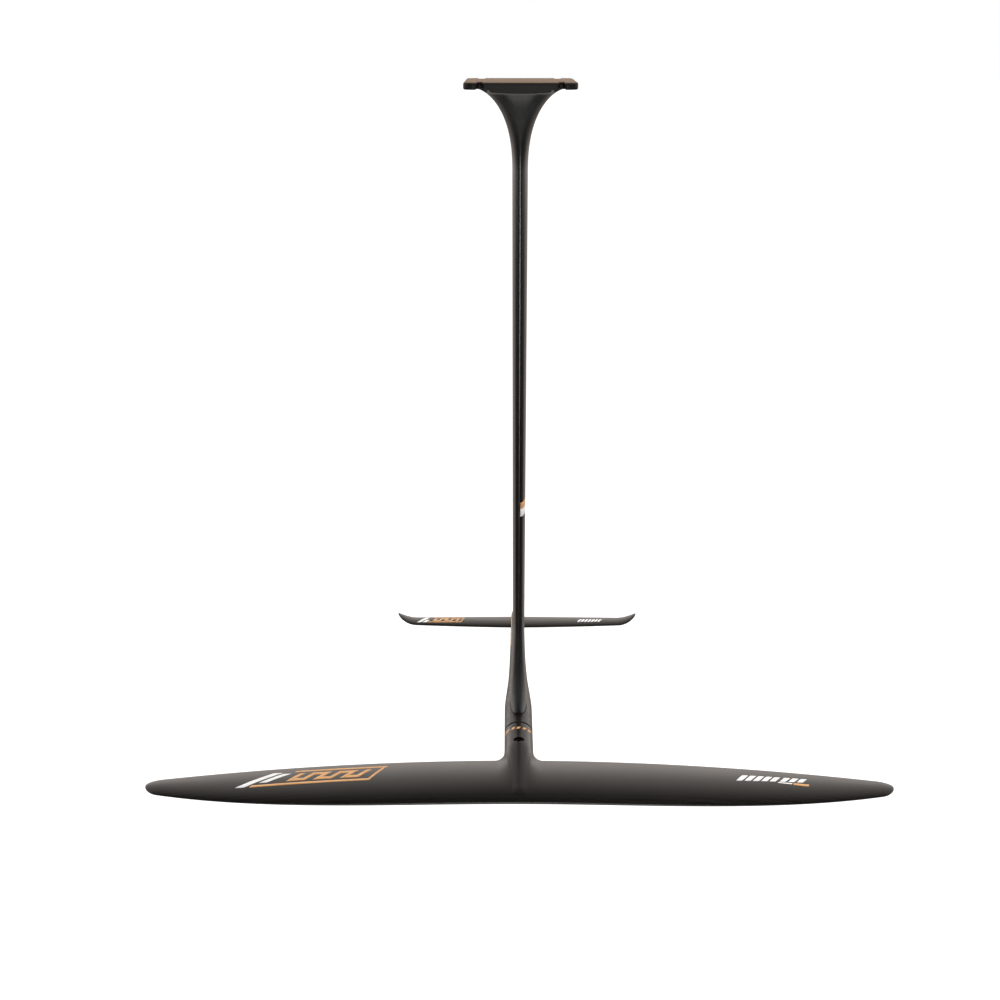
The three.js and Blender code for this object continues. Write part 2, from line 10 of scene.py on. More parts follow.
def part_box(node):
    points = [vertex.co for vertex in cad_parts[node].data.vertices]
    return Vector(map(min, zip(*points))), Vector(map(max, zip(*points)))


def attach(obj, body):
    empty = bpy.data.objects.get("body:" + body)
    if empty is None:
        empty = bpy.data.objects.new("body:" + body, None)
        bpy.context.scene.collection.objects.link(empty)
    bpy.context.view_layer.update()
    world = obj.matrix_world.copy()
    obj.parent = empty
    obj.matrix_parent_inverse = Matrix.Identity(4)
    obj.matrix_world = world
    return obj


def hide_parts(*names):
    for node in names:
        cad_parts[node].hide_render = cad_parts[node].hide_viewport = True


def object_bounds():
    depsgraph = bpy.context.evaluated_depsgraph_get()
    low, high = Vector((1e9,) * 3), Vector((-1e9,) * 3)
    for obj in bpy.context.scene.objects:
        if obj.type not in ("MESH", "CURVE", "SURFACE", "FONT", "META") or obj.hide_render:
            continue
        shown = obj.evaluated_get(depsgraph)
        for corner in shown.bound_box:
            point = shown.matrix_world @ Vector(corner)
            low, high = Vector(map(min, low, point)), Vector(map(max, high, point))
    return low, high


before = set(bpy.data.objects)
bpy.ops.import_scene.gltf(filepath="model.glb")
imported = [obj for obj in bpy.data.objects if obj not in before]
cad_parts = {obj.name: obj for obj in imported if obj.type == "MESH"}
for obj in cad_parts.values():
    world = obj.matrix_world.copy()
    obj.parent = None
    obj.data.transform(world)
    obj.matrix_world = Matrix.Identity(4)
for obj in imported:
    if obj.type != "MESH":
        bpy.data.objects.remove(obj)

# A hydrofoil: board plate, flared mast, fuselage, front wing and tail wing. Shapes are worked out in
# millimetres in the frame's own axes and written in metres. +Z is up, -Y the direction of travel.
MM = 0.001
cad_low, cad_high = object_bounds()


def node_box(name):
    low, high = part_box(name)
    return np.array(low) / MM, np.array(high) / MM


plate_low, plate_high = node_box("base_plate")

# ---- Curves ----


def clamp01(t):
    return np.clip(t, 0.0, 1.0)


def smooth(t):
    t = clamp01(t)
    return t * t * (3 - 2 * t)


def mix(a, b, t):
    return a + (b - a) * t


def around(count):
    return 2 * np.pi * np.arange(count) / count


def eased(steps):
    """Shares from 0 to 1, close together at both ends."""
    return (1 - np.cos(np.pi * np.arange(steps + 1) / steps)) / 2


def soft_max(a, b, blend):
    gap = clamp01(1 - np.abs(a - b) / blend)
    return np.maximum(a, b) + blend / 4 * gap * gap


def foil_shape(s):
    """A foil section's half thickness at a share of its chord, as a share of the greatest."""
    s = clamp01(s)
    poly = 0.2969 * np.sqrt(s) - 0.126 * s - 0.3516 * s**2 + 0.2843 * s**3 - 0.1036 * s**4
    return np.maximum(0, poly) / 0.1


def bend(v, squareness):
    return np.sign(v) * np.abs(v) ** (2 / squareness)


def rounded_ring(y, half, top, bottom, squareness, points=96):
    """A superellipse across Y."""
    angle = 2 * np.pi * (np.arange(points) + 0.5) / points
    x = half * bend(np.cos(angle), squareness)
    z = (top + bottom) / 2 + (top - bottom) / 2 * bend(np.sin(angle), squareness)
    return np.stack([x, np.full(points, float(y)), z], -1)


# ---- Meshes ----


def link(obj):
    bpy.context.scene.collection.objects.link(obj)


def make_object(name, points, faces, material, body="root", smooth_shade=True):
    mesh = bpy.data.meshes.new(name)
    mesh.from_pydata((np.asarray(points) * MM).tolist(), [], faces)
    mesh.validate()
    mesh.update()
    if smooth_shade:
        mesh.shade_smooth()
    mesh.materials.append(material)
    obj = bpy.data.objects.new(name, mesh)
    link(obj)
    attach(obj, body)
    return obj


def ring_faces(rings, count, start=0, closed=True):
    faces = []
    last = count if closed else count - 1
    for r in range(rings - 1):
        for k in range(last):
            a = start + r * count + k
            b = start + r * count + (k + 1) % count
            faces.append((a, b, b + count, a + count))
    return faces


def loft(name, rings, material, cap_start=True, cap_end=True):
    """A closed skin through rings of the same count."""
    count = len(rings[0])
    faces = ring_faces(len(rings), count)
    if cap_start:
        faces.append(tuple(range(count))[::-1])
    if cap_end:
        faces.append(tuple(range((len(rings) - 1) * count, len(rings) * count)))
    obj = make_object(name, np.concatenate(rings), faces, material)
    face_out(obj)
    return obj


def face_out(obj):
    """Turns a closed mesh inside out if its faces point in."""
    mesh = obj.data
    mesh.calc_loop_triangles()
    co = np.empty(len(mesh.vertices) * 3)
    mesh.vertices.foreach_get("co", co)
    co = co.reshape(-1, 3)
    tri = np.empty(len(mesh.loop_triangles) * 3, dtype=np.int32)
    mesh.loop_triangles.foreach_get("vertices", tri)
    a, b, c = co[tri.reshape(-1, 3)].transpose(1, 0, 2)
    if np.sum(np.einsum("ij,ij->i", a, np.cross(b, c))) < 0:
        mesh.flip_normals()


def sharpen(obj, degrees=35):
    """Shades smooth, except across edges steeper than the angle."""
    with bpy.context.temp_override(object=obj, active_object=obj, selected_objects=[obj]):
        bpy.ops.object.shade_smooth_by_angle(angle=math.radians(degrees))


def boolean(obj, tool, operation="DIFFERENCE"):
    mod = obj.modifiers.new("cut", "BOOLEAN")
    mod.operation = operation
    mod.solver = "EXACT"
    mod.object = tool
    graph = bpy.context.evaluated_depsgraph_get()
    made = bpy.data.meshes.new_from_object(obj.evaluated_get(graph))
    obj.modifiers.clear()
    old = obj.data
    obj.data = made
    bpy.data.meshes.remove(old)
    bpy.data.objects.remove(tool)


def scratch(name, points, faces):
    """A closed mesh used only as a cutting tool."""
    mesh = bpy.data.meshes.new(name)
    mesh.from_pydata((np.asarray(points) * MM).tolist(), [], faces)
    mesh.update()
    obj = bpy.data.objects.new(name, mesh)
    link(obj)
    face_out(obj)
    return obj


def scratch_loft(rings):
    count = len(rings[0])
    faces = ring_faces(len(rings), count)
    faces.append(tuple(range(count))[::-1])
    faces.append(tuple(range((len(rings) - 1) * count, len(rings) * count)))
    return scratch("tool", np.concatenate(rings), faces)


def turned_rings(profile, x, y, sides=64):
    angle = around(sides)
    rings = []
    for r, z in profile:
        rings.append(np.stack([x + r * np.cos(angle), y + r * np.sin(angle), np.full(sides, float(z))], -1))
    return rings


def smooth_tree(obj):
    """The smooth surface of a mesh before it is cut, to carry its shading over to the cut one."""
    mesh = obj.data
    mesh.calc_loop_triangles()
    points = [v.co.copy() for v in mesh.vertices]
    normals = np.array([v.normal for v in mesh.vertices])
    triangles = [tuple(t.vertices) for t in mesh.loop_triangles]
    return BVHTree.FromPolygons(points, triangles), points, normals, triangles


def carry_shading(obj, surface, degrees=28):
    """Gives each corner the uncut surface's normal where its face lies on that surface."""
    tree, points, normals, triangles = surface
    mesh = obj.data
    limit = math.cos(math.radians(degrees))
    corner_normals = [None] * len(mesh.loops)
    found = {}
    for face in mesh.polygons:
        for loop in face.loop_indices:
            vertex = mesh.loops[loop].vertex_index
            if vertex not in found:
                where, _, index, distance = tree.find_nearest(mesh.vertices[vertex].co)
                tri = triangles[index]
                weights = barycentric(where, *(points[i] for i in tri))
                normal = Vector(weights @ normals[list(tri)])
                found[vertex] = (normal.normalized(), distance)
            normal, distance = found[vertex]
            lies_on = distance < 0.02 * MM and normal.dot(face.normal) > limit
            corner_normals[loop] = normal if lies_on else face.normal.copy()
    mesh.normals_split_custom_set(corner_normals)


def barycentric(p, a, b, c):
    v0, v1, v2 = b - a, c - a, p - a
    d00, d01, d11 = v0.dot(v0), v0.dot(v1), v1.dot(v1)
    d20, d21 = v2.dot(v0), v2.dot(v1)
    bottom = d00 * d11 - d01 * d01
    if abs(bottom) < 1e-30:
        return np.array([1.0, 0.0, 0.0])
    v = (d11 * d20 - d01 * d21) / bottom
    w = (d00 * d21 - d01 * d20) / bottom
    return np.array([1 - v - w, v, w])


# ---- Procedural materials ----

# painted sheen: the plate's flat top is lifted toward this pale brown where light would catch it
PAINTED_TOP_SHEEN = (0.13, 0.09, 0.062)  # the plate's flat top
# painted highlight: a paler colour on the bead under the boss's front edge and the top front of the horn; the
# next two ranges mark where it goes
HIGHLIGHT_PALE = (0.07, 0.062, 0.055)  # the bead under the boss's front edge
HIGHLIGHT_FRONT = (-62.7, -62.2)
HIGHLIGHT_HEIGHT = (-14.0, -12.0)
MATTE_HEIGHT = (-110.0, -30.0)  # the mast's head grows matter between these heights


class Nodes:
    """A short way to write a material's node tree."""

    def __init__(self, name):
        self.material = bpy.data.materials.new(name)
        self.material.use_nodes = True
        self.tree = self.material.node_tree
        self.shader = self.tree.nodes["Principled BSDF"]

    def add(self, kind, **values):
        node = self.tree.nodes.new(kind)
        for key, value in values.items():
            setattr(node, key, value)
        return node

    def put(self, socket, value):
        if isinstance(value, bpy.types.NodeSocket):
            self.tree.links.new(value, socket)
        else:
            socket.default_value = value

    def look(self, name, value):
        """Sets or links one of the shader's own sockets."""
        self.put(self.shader.inputs[name], value)

    def math(self, operation, a, b=0.0, c=0.0, clamp=False):
        node = self.add("ShaderNodeMath", operation=operation, use_clamp=clamp)
        for socket, value in zip(node.inputs, (a, b, c)):
            self.put(socket, value)
        return node.outputs[0]

    def times(self, a, b):
        return self.math("MULTIPLY", a, b)

    def plus(self, a, b, clamp=False):
        return self.math("ADD", a, b, clamp=clamp)

    def scaled(self, x, y, z, scale_x, scale_y, scale_z):
        return self.vector(self.times(x, scale_x), self.times(y, scale_y), self.times(z, scale_z))

    def position(self):
        """The point in the object's own space, in millimetres, as three sockets."""
        where = self.add("ShaderNodeTexCoord").outputs["Object"]
        scaled = self.add("ShaderNodeVectorMath", operation="SCALE")
        self.put(scaled.inputs[0], where)
        scaled.inputs["Scale"].default_value = 1 / MM
        split = self.add("ShaderNodeSeparateXYZ")
        self.put(split.inputs[0], scaled.outputs[0])
        return split.outputs[0], split.outputs[1], split.outputs[2]

    def vector(self, x, y, z):
        node = self.add("ShaderNodeCombineXYZ")
        for socket, value in zip(node.inputs, (x, y, z)):
            self.put(socket, value)
        return node.outputs[0]

    def noise(self, vector, scale, detail=3.0, roughness=0.55):
        node = self.add("ShaderNodeTexNoise")
        self.put(node.inputs["Vector"], vector)
        node.inputs["Scale"].default_value = scale
        node.inputs["Detail"].default_value = detail
        node.inputs["Roughness"].default_value = roughness
        return node.outputs[0]

    def span(self, value, low, high, to_low=0.0, to_high=1.0, kind="SMOOTHSTEP"):
        node = self.add("ShaderNodeMapRange", interpolation_type=kind, clamp=True)
        for socket, number in zip(node.inputs, (value, low, high, to_low, to_high)):
            self.put(socket, number)
        return node.outputs[0]

    def blend(self, share, dark, light):
        node = self.add("ShaderNodeMix", data_type="RGBA")
        self.put(node.inputs[0], share)
        node.inputs[6].default_value = (*dark, 1)
        node.inputs[7].default_value = (*light, 1)
        return node.outputs[2]

    def bump(self, height, distance, strength=1.0):
        node = self.add("ShaderNodeBump")
        node.inputs["Strength"].default_value = strength
        node.inputs["Distance"].default_value = distance * MM
        self.put(node.inputs["Height"], height)
        self.put(self.shader.inputs["Normal"], node.outputs[0])

    def specks(self, x, y, z):
        """Small pale dust and resin specks, a third of a millimetre wide, a few millimetres apart."""
        cells = self.add("ShaderNodeTexVoronoi", feature="F1")
        cells.inputs["Scale"].default_value = 0.45
        self.put(cells.inputs["Vector"], self.vector(x, y, z))
        return self.span(cells.outputs["Distance"], 0.06, 0.16, 0.9, 0.0)

    def lifted(self, color, share, toward):
        """A colour moved toward a second one by a share."""
        node = self.add("ShaderNodeMix", data_type="RGBA")
        self.put(node.inputs[0], share)
        self.put(node.inputs[6], color)
        node.inputs[7].default_value = (*toward, 1)
        return node.outputs[2]

    def twill(self, u, v, tow):
        """A 2x2 twill of tows: which way the upper tow runs, and how high its surface stands."""
        column = self.math("FLOOR", self.math("DIVIDE", u, tow))
        row = self.math("FLOOR", self.math("DIVIDE", v, tow))
        step = self.math("FLOORED_MODULO", self.math("SUBTRACT", column, row), 4.0)
        warp = self.math("LESS_THAN", step, 1.5)
        across_u = self.math("FRACT", self.math("DIVIDE", u, tow))
        across_v = self.math("FRACT", self.math("DIVIDE", v, tow))
        arch_u = self.math("SINE", self.times(across_u, math.pi))
        arch_v = self.math("SINE", self.times(across_v, math.pi))
        up = self.times(arch_u, warp)
        other = self.times(arch_v, self.math("SUBTRACT", 1.0, warp))
        return warp, self.plus(up, other)


def carbon_twill(name, dark, light, tow, rough, sheen_top_heights=None, specular=0.5):
    """Woven carbon under a satin coat: 45 degree twill, cloudy resin and fine dust, and on a flat top a
    painted sheen.
    """
    n = Nodes(name)
    x, y, z = n.position()
    u = n.times(n.plus(x, y), math.sqrt(0.5))
    v = n.times(n.math("SUBTRACT", x, y), math.sqrt(0.5))
    warp, height = n.twill(u, v, tow)
    cloud = n.noise(n.vector(x, y, z), 0.035, 3.0)
    grain = n.noise(n.vector(x, y, z), 1.3, 2.0, 0.7)
    fibre_u = n.noise(n.vector(n.times(u, 0.25), n.times(v, 4.0), z), 1.0, 2.0)
    fibre_v = n.noise(n.vector(n.times(u, 4.0), n.times(v, 0.25), z), 1.0, 2.0)
    weft = n.math("SUBTRACT", 1.0, warp)
    fibre = n.plus(n.times(fibre_u, warp), n.times(fibre_v, weft))
    tone = n.plus(n.times(warp, 0.30), n.times(fibre, 0.35))
    tone = n.plus(tone, n.times(cloud, 0.35))
    tone = n.plus(tone, n.specks(x, y, z), clamp=True)
    # Painted sheen: between the given heights the flat top is lifted toward a pale brown that stands in for
    # the light it would catch; it is also made a little rougher.
    top = n.span(z, sheen_top_heights[0], sheen_top_heights[1], 0.0, 1.0) if sheen_top_heights else 0.0
    n.look("Base Color", n.lifted(n.blend(tone, dark, light), top, PAINTED_TOP_SHEEN))
    gloss = n.plus(n.times(grain, 0.5), n.times(n.plus(cloud, warp), 0.25))
    satin = n.span(gloss, 0.2, 0.8, rough[0], rough[1], "LINEAR")
    n.look("Roughness", n.plus(satin, n.times(top, 0.1)))
    n.bump(n.plus(n.times(height, 0.6), n.times(grain, 0.4)), 0.012)
    n.look("Specular IOR Level", specular)
    return n.material


def carbon_tow(name, dark, light, rough):
    """Unidirectional carbon that runs down the mast, under a satin coat, with a painted highlight along the
    front of its head.
    """
    n = Nodes(name)
    x, y, z = n.position()
    fibre = n.noise(n.scaled(x, y, z, 1.4, 1.4, 0.03), 1.0, 4.0)
    tows = n.noise(n.scaled(x, y, z, 0.3, 0.33, 0.004), 1.0, 2.0)
    cloud = n.noise(n.vector(x, y, z), 0.03, 3.0)
    grain = n.noise(n.vector(x, y, z), 1.6, 2.0, 0.7)
    tone = n.plus(n.times(fibre, 0.5), n.times(tows, 0.5))
    tone = n.plus(n.span(tone, 0.3, 0.7), n.specks(x, y, z), clamp=True)
    # Painted highlight: ahead of y -62.7 mm and above about -13 mm the colour is lifted toward a paler one,
    # on the bead and the horn's top front.
    rim = n.times(n.span(y, *HIGHLIGHT_FRONT, 1.0, 0.0), n.span(z, *HIGHLIGHT_HEIGHT, 0.0, 1.0))
    n.look("Base Color", n.lifted(n.blend(tone, dark, light), rim, HIGHLIGHT_PALE))
    gloss = n.plus(n.times(grain, 0.4), n.times(n.plus(cloud, fibre), 0.3))
    satin = n.span(gloss, 0.25, 0.75, rough[0], rough[1], "LINEAR")
    matte_head = n.span(z, *MATTE_HEIGHT, 0.0, 0.2)
    n.look("Roughness", n.plus(satin, matte_head))
    n.bump(n.plus(n.times(fibre, 0.5), n.times(grain, 0.5)), 0.01)
    n.look("Specular IOR Level", 0.5)
    return n.material


def carbon_flake(name, dark, light, rough, size=0.22):
    """Moulded chopped carbon: short flakes that lie every way."""
    n = Nodes(name)
    x, y, z = n.position()
    here = n.vector(x, y, z)
    warped = n.add("ShaderNodeVectorMath", operation="ADD")
    shift = n.add("ShaderNodeTexNoise")
    n.put(shift.inputs["Vector"], here)
    shift.inputs["Scale"].default_value = 0.12
    n.put(warped.inputs[0], here)
    pull = n.add("ShaderNodeVectorMath", operation="SCALE")
    n.put(pull.inputs[0], shift.outputs[1])
    pull.inputs["Scale"].default_value = 9.0
    n.put(warped.inputs[1], pull.outputs[0])
    cells = n.add("ShaderNodeTexVoronoi", feature="F1")
    cells.inputs["Scale"].default_value = size
    n.put(cells.inputs["Vector"], warped.outputs[0])
    tint = n.add("ShaderNodeSeparateColor")
    n.put(tint.inputs[0], cells.outputs["Color"])
    grain = n.noise(here, 1.5, 3.0, 0.7)
    tone = n.plus(n.times(tint.outputs[0], 0.6), n.times(grain, 0.4))
    n.look("Base Color", n.blend(tone, dark, light))
    gloss = n.plus(n.times(tint.outputs[1], 0.5), n.times(grain, 0.5))
    n.look("Roughness", n.span(gloss, 0.1, 0.9, rough[0], rough[1], "LINEAR"))
    n.bump(grain, 0.015)
    n.look("Specular IOR Level", 0.5)
    return n.material


def printed(name, dark, light, metallic, rough):
    """Screen-printed ink with a fine uneven grain, under the satin coat."""
    n = Nodes(name)
    x, y, z = n.position()
    here = n.vector(x, y, z)
    patch = n.noise(here, 0.12, 2.0)
    grain = n.noise(here, 2.2, 2.0, 0.7)
    tone = n.plus(n.times(patch, 0.6), n.times(grain, 0.4))
    n.look("Base Color", n.blend(n.span(tone, 0.3, 0.7), dark, light))
    n.look("Roughness", n.span(grain, 0.2, 0.8, rough - 0.06, rough + 0.06, "LINEAR"))
    n.bump(grain, 0.004)
    n.look("Metallic", metallic)
    return n.material


def turned_metal(name, dark, light, metallic, rough):
    """Machined metal with fine lathe lines and faint stains."""
    n = Nodes(name)
    x, y, z = n.position()
    here = n.vector(x, y, z)
    stain = n.noise(here, 0.4, 3.0)
    lines = n.noise(n.scaled(x, y, z, 0.2, 0.2, 6.0), 1.0, 2.0)
    n.look("Base Color", n.blend(n.span(stain, 0.3, 0.7), dark, light))
    n.look("Roughness", n.span(lines, 0.3, 0.7, rough - 0.07, rough + 0.09, "LINEAR"))
    n.bump(lines, 0.01)
    n.look("Metallic", metallic)
    return n.material


def cellular(name, dark, light, rough, size, depth):
    """Foam, laminate or moulded plastic with a fine cell or fibre grain."""
    n = Nodes(name)
    x, y, z = n.position()
    here = n.vector(x, y, z)
    cells = n.add("ShaderNodeTexVoronoi", feature="F1")
    cells.inputs["Scale"].default_value = size
    n.put(cells.inputs["Vector"], here)
    cloud = n.noise(here, 0.08, 3.0)
    tone = n.plus(n.times(cells.outputs["Distance"], 0.5), n.times(cloud, 0.5))
    n.look("Base Color", n.blend(n.span(tone, 0.2, 0.8), dark, light))
    n.look("Roughness", n.span(cloud, 0.3, 0.7, rough - 0.06, rough + 0.06, "LINEAR"))
    n.bump(cells.outputs["Distance"], depth)
    return n.material


# The plate's twill, with a painted sheen on its flat top.
plate_look = carbon_twill(
    "plate_carbon", (0.004, 0.0035, 0.0032), (0.014, 0.0125, 0.0112), 2.0, (0.45, 0.58), (-1.4, -0.3), 0.22
)
mast_look = carbon_tow("mast_carbon", (0.0035, 0.0032, 0.003), (0.012, 0.011, 0.0102), (0.24, 0.33))
fuselage_look = carbon_flake("fuselage_carbon", (0.005, 0.0045, 0.0042), (0.019, 0.0172, 0.0158), (0.3, 0.44))
wing_look = carbon_twill("wing_carbon", (0.004, 0.0037, 0.0035), (0.013, 0.0118, 0.011), 2.4, (0.27, 0.37))
copper_look = printed("copper_print", (0.66, 0.335, 0.125), (0.80, 0.43, 0.18), 0.15, 0.42)
white_look = printed("white_print", (0.80, 0.79, 0.77), (0.90, 0.89, 0.88), 0.0, 0.45)
screw_look = turned_metal("black_oxide", (0.010, 0.010, 0.011), (0.035, 0.034, 0.034), 0.9, 0.36)
steel_look = turned_metal("stainless", (0.42, 0.42, 0.43), (0.62, 0.62, 0.63), 1.0, 0.3)
brass_look = turned_metal("brass", (0.55, 0.38, 0.16), (0.72, 0.53, 0.26), 1.0, 0.32)
foam_look = cellular("foam", (0.55, 0.48, 0.31), (0.75, 0.68, 0.48), 0.85, 0.9, 0.08)
laminate_look = cellular("laminate", (0.02, 0.02, 0.019), (0.06, 0.06, 0.055), 0.55, 0.5, 0.03)
shim_look = cellular("shim", (0.010, 0.010, 0.010), (0.025, 0.025, 0.025), 0.5, 1.2, 0.02)

# ---- Board plate ----

PLATE_CORNER = 13
PLATE_EDGE = 1.9
SLOT_X = 45
SLOT_HALF = 3.3
SLOT_DEPTH = 28
SLOT_MOUTH = 2.2
SLAB = 8.0
half_width, half_length = plate_high[0], plate_high[1]
boss_bottom = plate_low[2]


def arc(x, y, radius, start, end, steps):
    angle = np.linspace(start, end, steps + 1)
    return np.stack([x + radius * np.cos(angle), y + radius * np.sin(angle)], -1)


def plate_outline(inset, z):
    """A quarter of the outline, mirrored twice: a round corner and a slot with rounded lips.

    The corner's last point is held clear of the lip, or the outline doubles back and the flat faces tear.
    """
    r = SLOT_HALF + inset
    deep = half_length - SLOT_DEPTH + SLOT_HALF
    edge = half_length - inset
    lip = SLOT_MOUTH - inset
    centre = half_width - PLATE_CORNER, half_length - PLATE_CORNER
    corner = arc(*centre, PLATE_CORNER - inset, 0, math.pi / 2, 16)
    corner[:, 0] = np.maximum(corner[:, 0], SLOT_X + SLOT_HALF + SLOT_MOUTH + 0.02)
    quarter = np.concatenate([
        corner,
        arc(SLOT_X + r + lip, edge - lip, lip, math.pi / 2, math.pi, 6),
        arc(SLOT_X, deep, r, 0, -math.pi, 20),
        arc(SLOT_X - r - lip, edge - lip, lip, 0, math.pi / 2, 6),
    ])
    half = np.concatenate([quarter, (quarter * [-1, 1])[::-1]])
    whole = np.concatenate([half, (half * [1, -1])[::-1]])
    return np.column_stack([whole, np.full(len(whole), z)])


BOSS_TOP = 35
BOSS_BOTTOM = 31
BOSS_SIDE = 2.6
BOSS_REAR = 56
BOSS_EDGE = 1.3


def boss_ring(y, inset, grow=0.0):
    """The crowned boss under the slab, as a ring across Y. Its sides slope in to a shallow crown."""
    low = -SLAB - BOSS_SIDE - grow
    crown = low - boss_bottom - grow
    x = np.linspace(-1, 1, 49)
    points = [(-BOSS_TOP - grow, -SLAB + 3.2), (-BOSS_TOP - grow + inset, -SLAB)]
    points += list(zip(x * (BOSS_BOTTOM + grow - inset), low - crown * (1 - x * x) + inset))
    points += [(BOSS_TOP + grow - inset, -SLAB), (BOSS_TOP + grow, -SLAB + 3.2)]
    return np.array([(px, y, pz) for px, pz in points])


def board_plate():
    turns = np.linspace(0, math.pi / 2, 7)
    rounding = [(PLATE_EDGE * (1 - math.cos(a)), PLATE_EDGE * (1 - math.sin(a))) for a in turns]
    top = [plate_outline(inset, -drop) for inset, drop in rounding]
    bottom = [plate_outline(inset, -SLAB + drop) for inset, drop in rounding[::-1]]
    plate = loft("board_plate", bottom + top, plate_look)
    ends = BOSS_EDGE * (1 - np.sin(turns))
    steps = BOSS_EDGE * (1 - np.cos(turns))
    rings = [boss_ring(-half_length + 0.01 + step, end) for step, end in zip(steps, ends)]
    rings += [boss_ring(y, 0) for y in (-30, 20, BOSS_REAR - 1)] + [boss_ring(BOSS_REAR, 0.8)]
    boolean(plate, scratch_loft(rings), "UNION")
    sharpen(plate, 30)
    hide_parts("base_plate")


board_plate()

# ---- Mast ----

MAST_LEAD = -67
FLARE_START = -7
FLARE_HEIGHT = 90
FLARE_SIDE = 44.8
FLARE_FRONT = 85
FLARE_REAR = 36
FLARE_WIDEST = 0.45
FLARE_SQUARE = 4.5
FLARE_REACH = half_length - 0.2 + MAST_LEAD
HEAD_ROOM = 8.5
FOOT_START = -640
FOOT_END = -742
SEAT = -750
TENON = 15
BEAD = 0.72
BEAD_BACK = 0.85
BEAD_END = 35.3
flare_end = FLARE_START - FLARE_HEIGHT


def mast_taper(z):
    return clamp01((z - flare_end) / (FOOT_START - flare_end))


def mast_chord(z):
    return mix(115, 108, mast_taper(z))


def mast_half(z):
    foot = smooth((z - FOOT_START) / (FOOT_END - FOOT_START))
    return mix(mix(8.9, 7.1, mast_taper(z)), 9.9, foot)


def flare_share(z):
    down = clamp01((FLARE_START - z) / FLARE_HEIGHT)
    return (1 - down**0.6) ** 1.95


def mast_width(z, s):
    """The mast's half width at a height and a share of its chord, without the flare."""
    blunt = 0.5 * np.sqrt(clamp01((1 - s) / 0.03))
    return np.maximum(mast_half(z) * foil_shape(s), blunt * (s > 0))


def mast_ring(z, grow=0.0, points=160):
    """The mast's outline at a height. Near the top it widens into a horn, broad in front and round behind."""
    angle = around(points)
    share = flare_share(z)
    front = MAST_LEAD - FLARE_REACH * math.tanh(FLARE_FRONT * share / FLARE_REACH) - grow
    rear = MAST_LEAD + mast_chord(z) + FLARE_REAR * share + grow
    s = (1 - np.cos(angle)) / 2
    ahead = s < FLARE_WIDEST
    off = np.abs(s - FLARE_WIDEST) / np.where(ahead, FLARE_WIDEST, 1 - FLARE_WIDEST)
    power = np.where(ahead, mix(2, FLARE_SQUARE, smooth(share * 2)), 2)
    oval = np.maximum(0, 1 - off**power) ** (1 / power)
    x = mast_width(z, s) + grow * foil_shape(s) + FLARE_SIDE * share * oval
    x = x * np.sign(np.round(np.sin(angle), 9))
    return np.stack([x, mix(front, rear, s), np.full(points, float(z))], -1)


def tube(path, radius, sides=12):
    """Rings of a round bead that follows a path across the front of the mast's head."""
    path = np.asarray(path, float)
    rings = []
    for i, point in enumerate(path):
        way = path[min(i + 1, len(path) - 1)] - path[max(i - 1, 0)]
        way /= np.linalg.norm(way)
        side = np.cross(way, (0, 1, 0))
        angle = around(sides)
        shrink = 0.3 if i in (0, len(path) - 1) else 1
        ring = np.outer(np.cos(angle), side) + np.outer(np.sin(angle), (0, 1, 0))
        rings.append(point + radius * shrink * ring)
    return rings


def slot_room(x):
    """The open room under a front slot where a bolt's head goes."""
    inner = -half_length + SLOT_DEPTH - SLOT_HALF
    outline = list(arc(x, inner, HEAD_ROOM, 0, math.pi, 28)) + [(x - HEAD_ROOM, -100), (x + HEAD_ROOM, -100)]
    return scratch_loft([np.array([(px, py, z) for px, py in outline]) for z in (-70.0, -4.0)])


def mast_blade():
    top = -SLAB - 0.3
    flare = top + (flare_end - top) * np.linspace(0, 1, 56) ** 1.7
    straight = np.linspace(flare_end, FOOT_START, 22)[1:-1]
    foot = np.linspace(FOOT_START, FOOT_END, 26)
    end = SEAT - TENON + 0.4
    levels = np.concatenate([flare, straight, foot, [SEAT, end + 0.6]])
    rings = [mast_ring(z) for z in levels] + [mast_ring(end, -0.5)]
    mast = loft("mast_blade", rings, mast_look)
    surface = smooth_tree(mast)
    grown = [boss_ring(y, 0, 0.3) for y in (-100, BOSS_REAR + 0.3)]
    boolean(mast, scratch_loft(grown))
    for x in (-SLOT_X, SLOT_X):
        boolean(mast, slot_room(x))
    low = -SLAB - BOSS_SIDE - 0.3
    crown = low - boss_bottom - 0.2
    front = -half_length + BEAD_BACK
    path = [(-BEAD_END, front, -9.0)]
    path += [(BOSS_BOTTOM * a, front, low - crown * (1 - a * a)) for a in np.linspace(-1, 1, 41)]
    path += [(BEAD_END, front, -9.0)]
    boolean(mast, scratch_loft(tube(path, BEAD)), "UNION")
    carry_shading(mast, surface, 50)
    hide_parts("mast_shell")


mast_blade()

# ---- Fuselage ----

FUSELAGE_STATIONS = np.array([
    [-91.5, 17.0, -750.0, -777.0],
    [-50.0, 17.0, -750.0, -777.0],
    [-12.0, 16.8, -750.0, -777.0],
    [27.0, 15.0, -750.0, -777.0],
    [54.0, 13.4, -750.2, -776.6],
    [81.0, 12.2, -750.5, -775.8],
    [124.0, 11.0, -751.1, -774.0],
    [198.0, 9.8, -752.2, -770.8],
    [261.0, 9.2, -753.1, -768.8],
    [297.0, 8.9, -753.7, -768.2],
    [321.0, 7.6, -754.6, -768.0],
    [334.0, 5.2, -756.4, -767.8],
    [340.0, 1.2, -759.5, -767.6],
])
COLLAR = FUSELAGE_STATIONS[0, 0]
TAIL_SEAT = -767.5
TAIL_STEP = 288
MAST_BOLTS = (-45, -13)
SCREW_Y = -141
SCREW_TOP = -752.0
TAIL_BOLTS = (304, 320)
TAIL_END = FUSELAGE_STATIONS[-1, 0]
AXIS = 0.01
BELOW = -790
INSERT_ROOM = 4.4


def bore(obj, profile, y):
    """Cuts a round hole on the centre line; the profile runs up through (radius, height)."""
    closed = [(AXIS, profile[0][1])] + profile + [(AXIS, profile[-1][1])]
    boolean(obj, scratch_loft(turned_rings(closed, 0, y)))


